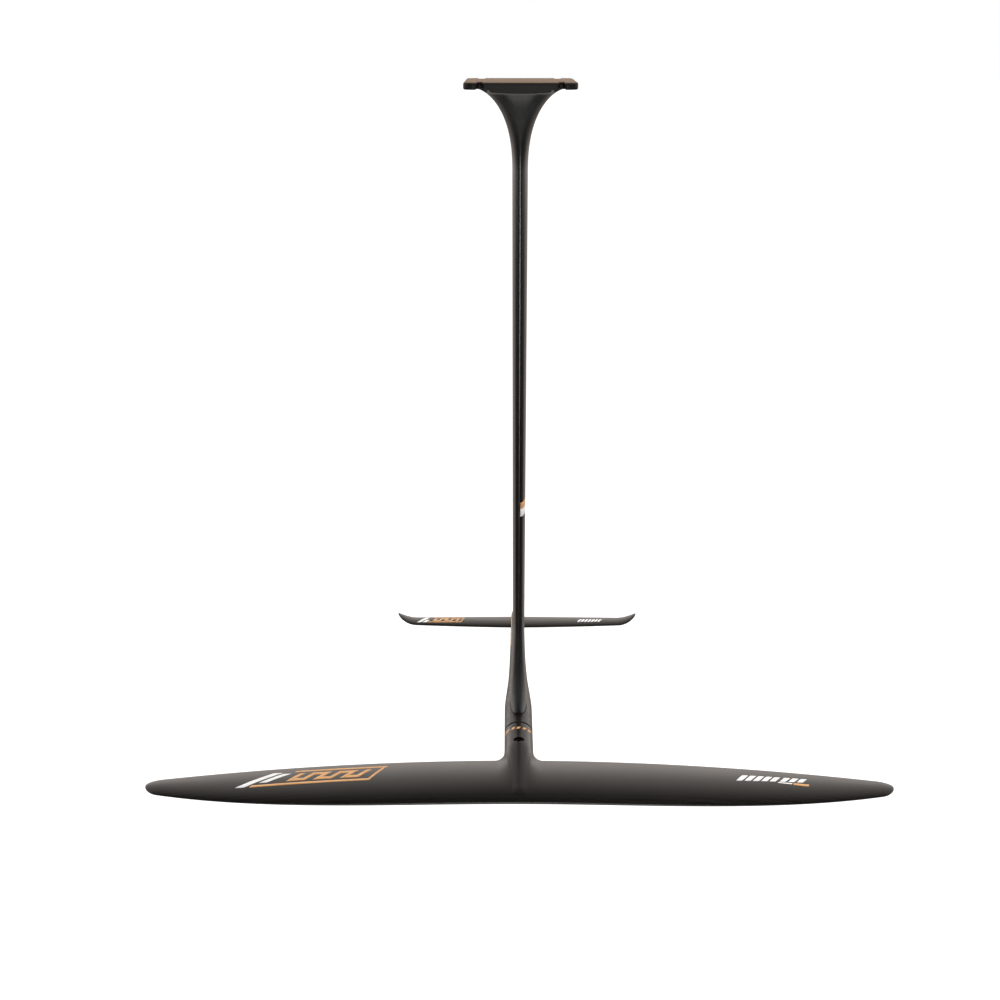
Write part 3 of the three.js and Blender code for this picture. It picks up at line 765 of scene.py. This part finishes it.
def fuselage_at(y):
    """Half width, top and bottom of the fuselage at a station, on a smooth curve."""
    stations, values = FUSELAGE_STATIONS[:, 0], FUSELAGE_STATIONS[:, 1:]
    last = len(stations) - 1
    k = int(np.clip(np.searchsorted(stations, y) - 1, 0, last - 1))

    def slope(i):
        a, b = max(0, i - 1), min(last, i + 1)
        return (values[b] - values[a]) / (stations[b] - stations[a])

    span = stations[k + 1] - stations[k]
    t = (y - stations[k]) / span
    ends = values[k] * (1 + 2 * t) * (1 - t) ** 2 + values[k + 1] * t * t * (3 - 2 * t)
    return ends + span * (slope(k) * t * (1 - t) ** 2 + slope(k + 1) * t * t * (t - 1))


def squareness_at(y):
    """The section is an ellipse at the front and squarer at the tail."""
    return mix(2.0, 2.6, float(smooth((y - 90) / 140)))


def fuselage_ring(y, inset=0.0, floor=None):
    half, top, bottom = fuselage_at(max(y, COLLAR))
    ring = rounded_ring(y, half - inset, top - inset, bottom + inset, squareness_at(y))
    if floor is not None:
        ring[:, 2] = np.maximum(ring[:, 2], floor)
    return ring


def tongue_ring(y, half, rise):
    middle = (FUSELAGE_STATIONS[0, 2] + FUSELAGE_STATIONS[0, 3]) / 2
    return rounded_ring(y, half, middle + rise, middle - rise, 3.0)


def fuselage():
    turns = np.linspace(0, math.pi / 2, 6)
    shoulder = [fuselage_ring(COLLAR + 2.6 * (1 - math.cos(a)), 1.9 * (1 - math.sin(a))) for a in turns]
    body = [fuselage_ring(y) for y in np.linspace(COLLAR + 4, TAIL_STEP, 110)]
    tail = TAIL_STEP + (TAIL_END - TAIL_STEP) * np.linspace(0, 1, 40) ** 0.8
    seat = [fuselage_ring(y, 0, TAIL_SEAT) for y in tail]
    tongue = [tongue_ring(-155, 9.6, 6.6), tongue_ring(-155, 10.8, 7.6), tongue_ring(COLLAR, 12.5, 9)]
    shell = loft("fuselage_shell", tongue + shoulder + body + seat, fuselage_look)
    surface = smooth_tree(shell)
    foot = mast_ring(SEAT, 0.35)
    levels = [SEAT + 8, SEAT - TENON - 0.3]
    boolean(shell, scratch_loft([np.column_stack([foot[:, :2], np.full(len(foot), z)]) for z in levels]))
    bolt_way = [(8.35, BELOW), (8.35, -774.8), (4.3, -770.7), (4.3, SEAT - TENON)]
    for y in MAST_BOLTS:
        bore(shell, bolt_way, y)
    for y in TAIL_BOLTS:
        bore(shell, [(INSERT_ROOM, BELOW), (INSERT_ROOM, -757.7)], y)
    bore(shell, [(INSERT_ROOM, -767.8), (INSERT_ROOM, -745)], SCREW_Y)
    carry_shading(shell, surface)
    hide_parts("fuselage")


fuselage()

# ---- Front wing ----

WING_HALF = 429.6
WING_CHORD = 108.8
WING_REAR = -169
WING_CURVE = 24.5
WING_TAPER = 0.73
TIP_ROUND = 0.96
TIP_SWEEP = 0.33
WING_PLANE = -765
WING_DROOP = 15.75
HUB_END = COLLAR - 0.4
HUB_SPLIT = -143.5
HUB_HALF = 17
HUB_TOP = -750
HUB_BOTTOM = -777
HUB_MIDDLE = (HUB_TOP + HUB_BOTTOM) / 2
HUB_RISE = (HUB_TOP - HUB_BOTTOM) / 2
HUB_ROUND = 3.4
SOCKET_FLOOR = -162.5
WEB_OUT = 9.5


def wing_plan(x):
    """Chord, rear edge, plane height, thickness ratio and edge half thickness across the span."""
    u = np.minimum(1, np.abs(x) / WING_HALF)
    tip = clamp01((u - TIP_ROUND) / (1 - TIP_ROUND))
    closing = np.sqrt(1 - tip * tip)
    full = WING_CHORD * (1 - WING_TAPER * u**3.1)
    chord = full * closing
    rear = WING_REAR - WING_CURVE * u**1.9 - TIP_SWEEP * full * (1 - closing)
    plane = WING_PLANE - WING_DROOP * u * u
    return chord, rear, plane, mix(0.125, 0.10, u), 0.45 * np.minimum(1, chord / 20)


def wing_lead(x):
    chord, rear, *_ = wing_plan(x)
    return rear - chord


def wing_height(x, y, side):
    """The upper (side 1) or lower (side -1) surface of the plain wing, level behind its rear edge."""
    chord, rear, plane, thick, edge = wing_plan(x)
    s = clamp01((y - (rear - chord)) / np.maximum(chord, 1e-6))
    camber = 4 * 0.012 * s * (1 - s) * chord
    half = thick / 2 * foil_shape(s) * chord + edge * smooth(s * 1.4)
    return plane + camber + side * half


def hub_size(y):
    t = clamp01((-150 - y) / 112)
    return mix(HUB_HALF, 9, smooth(t)), HUB_TOP - 8.5 * t**1.3, HUB_BOTTOM + 8.5 * t**1.2


def web_edge(y):
    """Half width of the web that rounds the corner between the hub and the wing's rear edge."""
    t = clamp01((HUB_SPLIT - y) / (HUB_SPLIT - WING_REAR))
    return HUB_HALF + (WEB_OUT - 0.01) * (1 - (1 - t**2.6) ** (1 / 1.5)) + 0.01


def wing_surface(x, y, side):
    """The wing with its hub faired in: the hub's own dome, and a concave skirt out over the wing."""
    base = wing_height(x, y, side)
    half, top, bottom = hub_size(y)
    across = np.abs(x)
    middle = (top + bottom) / 2
    rise = (top - bottom) / 2
    dome = middle + side * rise * np.sqrt(np.maximum(0, 1 - (across / half) ** 2))
    dome = dome - side * 8 * np.maximum(0, across - half)
    ridge = np.maximum(0, side * ((top if side > 0 else bottom) - wing_height(0 * x, y, side)))
    inner = half - 1.5
    outer = np.where(y > WING_REAR, web_edge(y), half + mix(WEB_OUT, 20, smooth((WING_REAR - y) / 60)))
    q = clamp01((across - inner) / np.maximum(outer - inner, 1e-6))
    fade = smooth((HUB_SPLIT - y) / 22)
    skirt = base + side * ridge * 0.55 * fade * (1 - q) ** 2.4
    blend = mix(1.5, 4.0, smooth((-150 - y) / 60))
    joined = side * soft_max(side * dome, side * skirt, blend)
    near_hub = smooth((y + 272) / 14)
    at_split = smooth((HUB_SPLIT - y) / 4)
    blended = mix(dome, joined, at_split)
    return np.where(across < outer + 30, mix(base, blended, near_hub), base)


def wing_grid():
    """Chordwise lines for half the wing, from the hub's centre line to the tip: (front x, rear x, rear y)."""
    ring = rounded_ring(HUB_SPLIT, HUB_HALF, HUB_TOP, HUB_BOTTOM, 2.0)
    top = ring[: len(ring) // 2]
    hub_x = np.sort(top[top[:, 0] > 0][:, 0])
    lines = [(x / HUB_HALF * 15.5, x, HUB_SPLIT) for x in hub_x]
    for t in eased(22)[1:]:
        y = mix(HUB_SPLIT, WING_REAR, t)
        lines.append((mix(15.6, HUB_HALF + WEB_OUT, t), float(web_edge(y)), y))
    start = HUB_HALF + WEB_OUT
    for t in np.sin(np.linspace(0, math.pi / 2, 120))[1:]:
        x = mix(start, WING_HALF - 0.02, t)
        lines.append((x, x, float(wing_plan(x)[1])))
    return lines


def front_wing():
    lines = wing_grid()
    lines = [(-a, -b, y) for a, b, y in lines[::-1]] + lines
    shares = eased(64)
    front_x = np.array([line[0] for line in lines])[:, None]
    rear_x = np.array([line[1] for line in lines])[:, None]
    rear_y = np.array([line[2] for line in lines])[:, None]
    x = mix(front_x, rear_x, smooth(shares)[None, :])
    lead = wing_lead(front_x)
    y = mix(lead, rear_y, shares[None, :])
    y[:, 0] = wing_lead(x[:, 0])
    up = wing_surface(x, y, 1)
    low = wing_surface(x, y, -1)
    middle = (up[:, 0] + low[:, 0]) / 2
    up[:, 0] = low[:, 0] = middle
    count, steps = x.shape
    upper = np.stack([x, y, up], -1)
    lower = np.stack([x, y, low], -1)[:, 1:]
    points = np.concatenate([upper.reshape(-1, 3), lower.reshape(-1, 3)])

    def top(i, j):
        return i * steps + j

    def under(i, j):
        return top(i, 0) if j == 0 else count * steps + i * (steps - 1) + j - 1

    faces = []
    for i in range(count - 1):
        for j in range(steps - 1):
            faces.append((top(i, j), top(i + 1, j), top(i + 1, j + 1), top(i, j + 1)))
            faces.append((under(i, j), under(i, j + 1), under(i + 1, j + 1), under(i + 1, j)))
        last = steps - 1
        if rear_y[i, 0] != HUB_SPLIT or rear_y[i + 1, 0] != HUB_SPLIT:
            faces.append((top(i, last), top(i + 1, last), under(i + 1, last), under(i, last)))
    for i in (0, count - 1):
        for j in range(steps - 1):
            faces.append((top(i, j), top(i, j + 1), under(i, j + 1), under(i, j)))
    hub = [i for i in range(count) if rear_y[i, 0] == HUB_SPLIT]
    loop = [top(i, steps - 1) for i in hub] + [under(i, steps - 1) for i in reversed(hub)]
    start_ring = points[loop]

    def hub_ring(y, inset):
        ring = start_ring.copy()
        ring[:, 0] *= (HUB_HALF - inset) / HUB_HALF
        ring[:, 2] = HUB_MIDDLE + (ring[:, 2] - HUB_MIDDLE) * (HUB_RISE - inset) / HUB_RISE
        ring[:, 1] = y
        return ring

    turns = np.linspace(0, math.pi / 2, 8)
    rings = [hub_ring(y, 0) for y in np.linspace(HUB_SPLIT, HUB_END - HUB_ROUND, 26)[1:]]
    rings += [hub_ring(HUB_END - HUB_ROUND * (1 - math.sin(a)), 1.15 * (1 - math.cos(a))) for a in turns[1:]]
    rings += [hub_ring(HUB_END, 1.25), hub_ring(SOCKET_FLOOR, 1.35)]
    first = len(points)
    ring_count = len(loop)
    points = np.concatenate([points] + rings)
    previous = loop
    for r in range(len(rings)):
        here = [first + r * ring_count + k for k in range(ring_count)]
        for k in range(ring_count):
            faces.append((previous[k], previous[(k + 1) % ring_count], here[(k + 1) % ring_count], here[k]))
        previous = here
    faces.append(tuple(previous))
    wing = make_object("front_wing_shell", points, faces, wing_look)
    clean(wing)
    face_out(wing)
    surface = smooth_tree(wing)
    bore(wing, [(6.4, -740), (6.4, -752.6), (3.3, -755.7), (3.3, -758)], SCREW_Y)
    carry_shading(wing, surface, 40)
    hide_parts("front_wing_upper_skin", "front_wing_lower_skin")


def clean(obj):
    """Joins points that coincide and makes the faces agree on which side is out."""
    mesh = bmesh.new()
    mesh.from_mesh(obj.data)
    bmesh.ops.remove_doubles(mesh, verts=mesh.verts, dist=0.002 * MM)
    bmesh.ops.recalc_face_normals(mesh, faces=mesh.faces)
    mesh.to_mesh(obj.data)
    mesh.free()
    obj.data.shade_smooth()


front_wing()

# ---- Tail wing ----

TAIL_HALF = 173.5
TAIL_CHORD = 44
TAIL_LEAD = 295.5
TAIL_PLANE = -771.5
TIP_START = 150
UPTURN_START = 146
UPTURN = 6.5


def tail_plan(x):
    u = np.minimum(TAIL_HALF, np.abs(x))
    tip = clamp01((u - TIP_START) / (TAIL_HALF - TIP_START))
    chord = TAIL_CHORD * (1 - 0.3 * (u / TIP_START) ** 1.4) * np.sqrt(1 - tip * tip)
    lift = clamp01((u - UPTURN_START) / (TAIL_HALF - UPTURN_START))
    rear = TAIL_LEAD + TAIL_CHORD + 3 * tip * tip - 4 * np.minimum(1, u / TIP_START)
    return chord, rear, TAIL_PLANE + UPTURN * lift**1.6


def tail_surface(x, s, side):
    chord, rear, plane = tail_plan(x)
    half = 0.052 * foil_shape(s) * chord + 0.35 * np.minimum(1, chord / 12) * smooth(s * 1.4)
    return np.stack([x + 0 * s, rear - chord * (1 - s), plane + side * half], -1)


PAD_HALF = 7.6
PAD_FRONT = 298
PAD_REAR = 337
PAD_LEVELS = [(-773.85, 1.0), (-773.5, 0.4), (-773.0, 0.0), (-768.75, 0.0)]


def pad_ring(z, inset):
    """The thick pad in the middle of the tail wing, with round corners."""
    corner = 4
    a, b = PAD_HALF - corner, (PAD_REAR - PAD_FRONT) / 2 - corner
    y = (PAD_REAR + PAD_FRONT) / 2
    sides = [(a, b, 0), (-a, b, 1), (-a, -b, 2), (a, -b, 3)]
    quarter = math.pi / 2
    outline = [arc(px, y + py, corner - inset, k * quarter, (k + 1) * quarter, 6) for px, py, k in sides]
    outline = np.concatenate(outline)
    return np.column_stack([outline, np.full(len(outline), z)])


def tail_wing():
    inner = np.linspace(0, UPTURN_START, 40)
    outer = UPTURN_START + (TAIL_HALF - 0.01 - UPTURN_START) * np.sin(np.linspace(0, math.pi / 2, 34))[1:]
    stations = np.concatenate([-outer[::-1], -inner[:0:-1], inner, outer])
    shares = eased(36)
    rings = []
    for x in stations:
        up = tail_surface(x, shares, 1)
        low = tail_surface(x, shares, -1)[1:][::-1]
        rings.append(np.concatenate([up, low]))
    foil = loft("tail_wing_foil", rings, wing_look)
    clean(foil)
    face_out(foil)
    surface = smooth_tree(foil)
    boolean(foil, scratch_loft([pad_ring(z, inset) for z, inset in PAD_LEVELS]), "UNION")
    for y in TAIL_BOLTS:
        bore(foil, [(6.15, BELOW), (6.15, -773.0), (3.3, -770.1), (3.3, -760)], y)
    carry_shading(foil, surface)
    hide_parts("tail_wing")


tail_wing()

# ---- Screws ----


def screw(name, node, x, y, top, way, head, shank, length):
    """A countersunk screw: rounded rim, hexagon socket with a cone at its end, threaded shank."""
    taper = head - shank
    key = shank * 0.72
    sides = 48
    angle = around(sides)
    hexagon = key / np.cos((angle + math.pi / 6) % (math.pi / 3) - math.pi / 6)
    rows = [(0.01, taper * 0.95 + 0.3), (0.55, taper * 0.8), (1.0, taper * 0.7), (1.0, 0.25)]
    rings = [(hexagon * share, depth) for share, depth in rows]
    rings.append((hexagon + 0.25, 0.0))
    rim = head - 0.4
    rings += [(mix(key * 1.4, rim, 0.6), 0.0), (rim, 0.0), (head - 0.1, 0.12), (head, 0.4), (head, 0.6)]
    rings.append((shank, 0.6 + taper))
    pitch = shank / 3
    depth = 0.6 + taper + pitch
    while depth < length - 1.5:
        rings += [(shank, depth), (shank * 0.86, depth + pitch / 2)]
        depth += pitch
    rings += [(shank * 0.85, length - 0.4), (shank * 0.7, length)]
    loops = []
    for radius, depth in rings:
        z = np.full(sides, top + way * depth)
        loops.append(np.stack([x + radius * np.cos(angle), y + radius * np.sin(angle), z], -1))
    obj = loft(name, loops, screw_look)
    sharpen(obj, 30)
    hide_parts(node)


screw("front_wing_bolt", "front_wing_screw", 0, SCREW_Y, SCREW_TOP, -1, 6, 3, 16.9)
for place, y in zip(("front", "rear"), MAST_BOLTS):
    screw(f"mast_m8_{place}", f"mast_bolt_{place}", 0, y, -775.4, 1, 8, 4, 39)
for place, y in zip(("front", "rear"), TAIL_BOLTS):
    screw(f"tail_m6_{place}", f"tail_bolt_{place}", 0, y, -773.6, 1, 5.8, 3, 14)

# ---- Printed marks ----

COPPER = "copper_print"
WHITE = "white_print"
PRINT_LIFT = 0.07
PRINT_DEPTH = 0.25


def print_patch(name, surface, corners, ink, across=2, along=2):
    """A thin printed patch: a four-cornered area of a surface, raised a little, its underside just inside."""
    corners = np.array(corners, float)
    u, v = np.meshgrid(np.linspace(0, 1, across + 1), np.linspace(0, 1, along + 1))
    u, v = u[..., None], v[..., None]
    where = (corners[0] * (1 - u) + corners[1] * u) * (1 - v) + (corners[3] * (1 - u) + corners[2] * u) * v
    a, b = where[..., 0], where[..., 1]
    high, low = surface(a, b, PRINT_LIFT), surface(a, b, -PRINT_DEPTH)
    count = (across + 1) * (along + 1)
    points = np.concatenate([high.reshape(-1, 3), low.reshape(-1, 3)])
    faces = []
    row = across + 1
    for j in range(along):
        for i in range(across):
            k = j * row + i
            faces.append((k, k + 1, k + row + 1, k + row))
            faces.append((count + k, count + k + row, count + k + row + 1, count + k + 1))
    rim = [i for i in range(row)] + [j * row + across for j in range(1, along + 1)]
    rim += [along * row + i for i in range(across - 1, -1, -1)] + [j * row for j in range(along - 1, 0, -1)]
    for a, b in zip(rim, rim[1:] + rim[:1]):
        faces.append((b, a, count + a, count + b))
    obj = make_object(name, points, faces, copper_look if ink == COPPER else white_look)
    face_out(obj)
    sharpen(obj, 40)


def on_wing(x, y, lift):
    return np.stack([x, y, wing_surface(x, y, 1) + lift], -1)


def on_tail(x, y, lift):
    chord, rear, _ = tail_plan(x)
    point = tail_surface(x, clamp01((y - rear + chord) / chord), 1)
    return point + np.array([0, 0, lift])


def on_hub(degrees, y, lift):
    angle = np.radians(degrees)
    x = (HUB_HALF + lift) * np.sin(angle)
    return np.stack([x, y, HUB_MIDDLE + (HUB_RISE + lift) * np.cos(angle)], -1)


def on_mast(s, z, lift):
    """The mast's right flank."""
    x = np.vectorize(mast_width)(z, s) + lift
    y = MAST_LEAD + s * mast_chord(z) - lift * (1 - clamp01(s / 0.05))
    return np.stack([x, y, z], -1)


def on_fuselage(degrees, y, lift):
    half, top, bottom = np.vectorize(lambda station: tuple(fuselage_at(station)))(y)
    squareness = np.vectorize(squareness_at)(y)
    angle = np.radians(degrees)
    x = (half + lift) * bend(np.sin(angle), squareness)
    z = (top + bottom) / 2 + ((top - bottom) / 2 + lift) * bend(np.cos(angle), squareness)
    return np.stack([x, y, z], -1)


def slanted(name, surface, frame_corners, low, high, ink, lean=0.0, across=3, along=3):
    """A bar inside a four-cornered frame; low and high are shares of the frame, lean shifts its far end."""
    a, b, c, d = np.array(frame_corners, float)

    def at(u, v):
        return (a * (1 - u) + b * u) * (1 - v) + (d * (1 - u) + c * u) * v

    near = [at(low[0], low[1]), at(high[0], low[1])]
    corners = near + [at(high[0] + lean, high[1]), at(low[0] + lean, high[1])]
    print_patch(name, surface, corners, ink, across, along)


def key_pattern(name, surface, corners, bars, first, pitch, width, rail):
    """A copper frame open on one side, round slanted bars joined in turn at the bottom and the top."""
    slanted(f"{name}_front_rail", surface, corners, (0.0, 0.0), (1.0, rail), COPPER, 0, 40, 2)
    slanted(f"{name}_rear_rail", surface, corners, (first - 0.04, 1 - rail), (1.0, 1.0), COPPER, 0, 40, 2)
    slanted(f"{name}_end_rail", surface, corners, (0.972, rail), (1.0, 1 - rail), COPPER, 0, 2, 12)
    low, high = rail + 0.11, 1 - rail - 0.11
    link = 0.17
    for k in range(bars):
        start = first + k * pitch
        slanted(f"{name}_bar_{k}", surface, corners, (start, low), (start + width, high), COPPER, 0.03, 2, 10)
        if k == bars - 1:
            continue
        base, top = (low, low + link) if k % 2 == 0 else (high - link, high)
        shift = 0.03 * (base - low) / (high - low)
        across = (start + width + shift, base), (start + pitch + shift, top)
        slanted(f"{name}_link_{k}", surface, corners, *across, COPPER, 0.03 * link / (high - low), 4, 3)


def wing_marks():
    left = [(-305.5, -236), (-170, -230.8), (-151.6, -185.4), (-287, -193)]
    key_pattern("left_mark", on_wing, left, 6, 0.265, 0.112, 0.048, 0.125)
    slash = [(-322, -235), (-311, -235), (-272, -196), (-283, -196)]
    print_patch("left_slash_long", on_wing, slash, WHITE, 4, 10)
    slash = [(-296, -225), (-286.5, -225), (-261.5, -200), (-271, -200)]
    print_patch("left_slash_short", on_wing, slash, WHITE, 4, 8)
    right = [(246, -221.5), (329, -215.5), (333, -204.5), (253, -203)]
    starts = [0.0, 0.115, 0.23, 0.345, 0.46, 0.6, 0.72, 0.84]
    for k, start in enumerate(starts):
        stop = start + 0.085
        slanted(f"right_dash_{k}", on_wing, right, (start, 0.0), (stop, 1.0), WHITE, 0.035, 3, 6)
    under = [(293, -223), (328, -226.5), (329.5, -220), (295, -217.5)]
    slanted("right_line_white", on_wing, under, (0.0, 0.25), (0.46, 0.75), WHITE, 0, 6, 2)
    slanted("right_line_copper", on_wing, under, (0.5, 0.0), (1.0, 0.9), COPPER, 0, 6, 3)


def tail_marks():
    left = [(-130, 310.5), (-81, 310.5), (-76, 333), (-125, 333)]
    key_pattern("tail_mark", on_tail, left, 5, 0.12, 0.17, 0.07, 0.13)
    slash = [(-145, 311), (-139, 311), (-127, 333), (-133, 333)]
    print_patch("tail_slash_long", on_tail, slash, WHITE, 3, 8)
    slash = [(-136.5, 311), (-132, 311), (-126.5, 321), (-131, 321)]
    print_patch("tail_slash_short", on_tail, slash, WHITE, 3, 6)
    right = [(87, 313), (121, 314), (124, 325), (90, 325)]
    for k in range(7):
        start = 0.142 * k
        slanted(f"tail_dash_{k}", on_tail, right, (start, 0.0), (start + 0.1, 1.0), WHITE, 0.04, 2, 4)


def hub_marks():
    dashes = [(-66, -42), (-31, -17), (-9, 5), (17, 30), (40, 58)]
    for k, (start, stop) in enumerate(dashes):
        corners = [(start - 4, -111.5), (stop - 4, -111), (stop + 4, -105), (start + 4, -105)]
        print_patch(f"hub_dash_{k}", on_hub, corners, COPPER, 8, 2)


def mast_marks():
    copper = [(0.0035, -489.3), (0.30, -489.3), (0.30, -481.2), (0.0035, -481.2)]
    print_patch("mast_band_copper", on_mast, copper, COPPER, 24, 3)
    white = [(0.0035, -498.2), (0.30, -498.2), (0.30, -489.3), (0.0035, -489.3)]
    print_patch("mast_band_white", on_mast, white, WHITE, 24, 3)


def fuselage_marks():
    for side, turn in (("left", -62), ("right", 62)):
        corners = [(turn - 7, 183), (turn + 7, 183), (turn + 7, 309), (turn - 7, 309)]
        print_patch(f"fuselage_line_{side}", on_fuselage, corners, COPPER, 4, 60)


wing_marks()
tail_marks()
hub_marks()
mast_marks()
fuselage_marks()

# ---- Carried-over pieces ----

CARRIED = {
    "mast_core": foam_look,
    "mast_foot_block": laminate_look,
    "front_wing_core": foam_look,
    "front_wing_socket": laminate_look,
    "fuselage_tongue_insert": brass_look,
    "mast_insert_front": steel_look,
    "mast_insert_rear": steel_look,
    "tail_insert_front": brass_look,
    "tail_insert_rear": brass_look,
    "tail_wing_shim": shim_look,
}
for node, look in CARRIED.items():
    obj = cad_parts[node]
    for slot in obj.material_slots:
        slot.material = look

# ---- Floor, light and camera ----

FLOOR = cad_low[2] - 0.30
CARD = cad_low[2] - 0.29
PANEL_AHEAD = 4


def sheet(name, points, faces, material):
    mesh = bpy.data.meshes.new(name)
    mesh.from_pydata(points, [], faces)
    mesh.materials.append(material)
    obj = bpy.data.objects.new(name, mesh)
    link(obj)
    return obj


def floor():
    n = Nodes("floor")
    n.look("Base Color", (0.25, 0.25, 0.25, 1))
    n.look("Roughness", 0.9)
    n.look("Emission Color", (1, 1, 1, 1))
    n.look("Emission Strength", 1.0)
    size = 40.0
    corners = [(-size, -size, FLOOR), (size, -size, FLOOR), (size, size, FLOOR), (-size, size, FLOOR)]
    sheet("floor", corners, [(0, 1, 2, 3)], n.material)


def card(name, inner, start, stop, color, glow):
    """A sheet just above the floor, round part of a circle, that only reflections see. Angles run from -Y."""
    n = Nodes(name)
    n.look("Base Color", (0.02, 0.02, 0.02, 1))
    n.look("Roughness", 1.0)
    n.look("Specular IOR Level", 0.0)
    n.look("Emission Color", (*color, 1))
    n.look("Emission Strength", glow)
    turn = np.radians(np.linspace(start, stop, 41))
    points = [(r * math.sin(a), -r * math.cos(a), CARD) for r in (inner, 14) for a in turn]
    faces = [(i, i + 1, i + 42, i + 41) for i in range(40)]
    reflect_only(sheet(name, points, faces, n.material))


def reflect_only(obj):
    obj.visible_camera = False
    obj.visible_diffuse = False
    obj.visible_shadow = False


def panel(name, half, bottom, top, glow):
    """A glowing panel in front that only reflections see."""
    n = Nodes(name)
    n.look("Base Color", (0, 0, 0, 1))
    n.look("Emission Color", (1, 0.98, 0.95, 1))
    n.look("Emission Strength", glow)
    y = -PANEL_AHEAD
    corners = [(-half, y, bottom), (half, y, bottom), (half, y, top), (-half, y, top)]
    reflect_only(sheet(name, corners, [(0, 1, 2, 3)], n.material))


def studio():
    """A white room that is bright behind and at the sides, dim overhead and dark towards the front."""
    world = bpy.data.worlds.new("studio")
    bpy.context.scene.world = world
    world.use_nodes = True
    n = Nodes.__new__(Nodes)
    n.tree = world.node_tree
    background = n.tree.nodes["Background"]
    way = n.add("ShaderNodeTexCoord").outputs["Generated"]
    split = n.add("ShaderNodeSeparateXYZ")
    n.put(split.inputs[0], way)
    y, z = split.outputs[1], split.outputs[2]
    level = n.math("SQRT", n.math("MAXIMUM", n.math("SUBTRACT", 1.0, n.times(z, z)), 0.0001))
    back = n.math("DIVIDE", y, level)
    behind = n.span(back, -0.6, 0.3)
    low_part = n.span(z, 0.02, 0.32, 1.5, 0.0)
    high_part = n.span(z, 0.3, 0.9, 0.48, 0.0)
    wall = n.times(behind, n.plus(low_part, high_part))
    total = n.plus(wall, 0.035)
    warm = n.add("ShaderNodeMix", data_type="RGBA")
    n.put(warm.inputs[0], 1.0)
    warm.inputs[7].default_value = (1.0, 0.92, 0.86, 1)
    scaled = n.add("ShaderNodeVectorMath", operation="SCALE")
    n.put(scaled.inputs[0], warm.outputs[2])
    n.put(scaled.inputs["Scale"], total)
    seen = n.add("ShaderNodeLightPath").outputs["Is Camera Ray"]
    final = n.add("ShaderNodeMix", data_type="RGBA")
    n.put(final.inputs[0], seen)
    n.put(final.inputs[6], scaled.outputs[0])
    final.inputs[7].default_value = (1, 1, 1, 1)
    n.put(background.inputs["Color"], final.outputs[2])


def area_light(name, where, aim, size, power, glossy):
    data = bpy.data.lights.new(name, "AREA")
    data.shape = "RECTANGLE"
    data.size, data.size_y = size
    data.energy = power
    obj = bpy.data.objects.new(name, data)
    obj.location = where
    obj.rotation_euler = (Vector(aim) - Vector(where)).to_track_quat("-Z", "Y").to_euler()
    obj.visible_camera = False
    obj.visible_glossy = glossy
    link(obj)


def camera():
    data = bpy.data.cameras.new("camera")
    data.lens = 59.04
    data.sensor_width = 36
    data.clip_start, data.clip_end = 0.01, 200
    obj = bpy.data.objects.new("camera", data)
    obj.location = (-0.0129, -1.9254, 0.0519)
    obj.rotation_euler = (math.radians(90 - 15.906), 0, math.radians(0.30))
    link(obj)
    bpy.context.scene.camera = obj


floor()
card("dark_cloth", 0.8, -139, 139, (0.02, 0.02, 0.02), 0.0)
card("warm_floor", 0.15, 139, 221, (1.0, 0.87, 0.78), 0.5)
panel("front_panel", 1.3, -1.0, -0.52, 15.0)
panel("front_panel_top", 1.1, -0.52, -0.40, 7.0)
studio()
area_light("key", (0.5, 0.6, 2.6), (0, 0, -0.6), (2.0, 2.0), 165, False)
camera()
bpy.context.scene.view_settings.view_transform = "Standard"
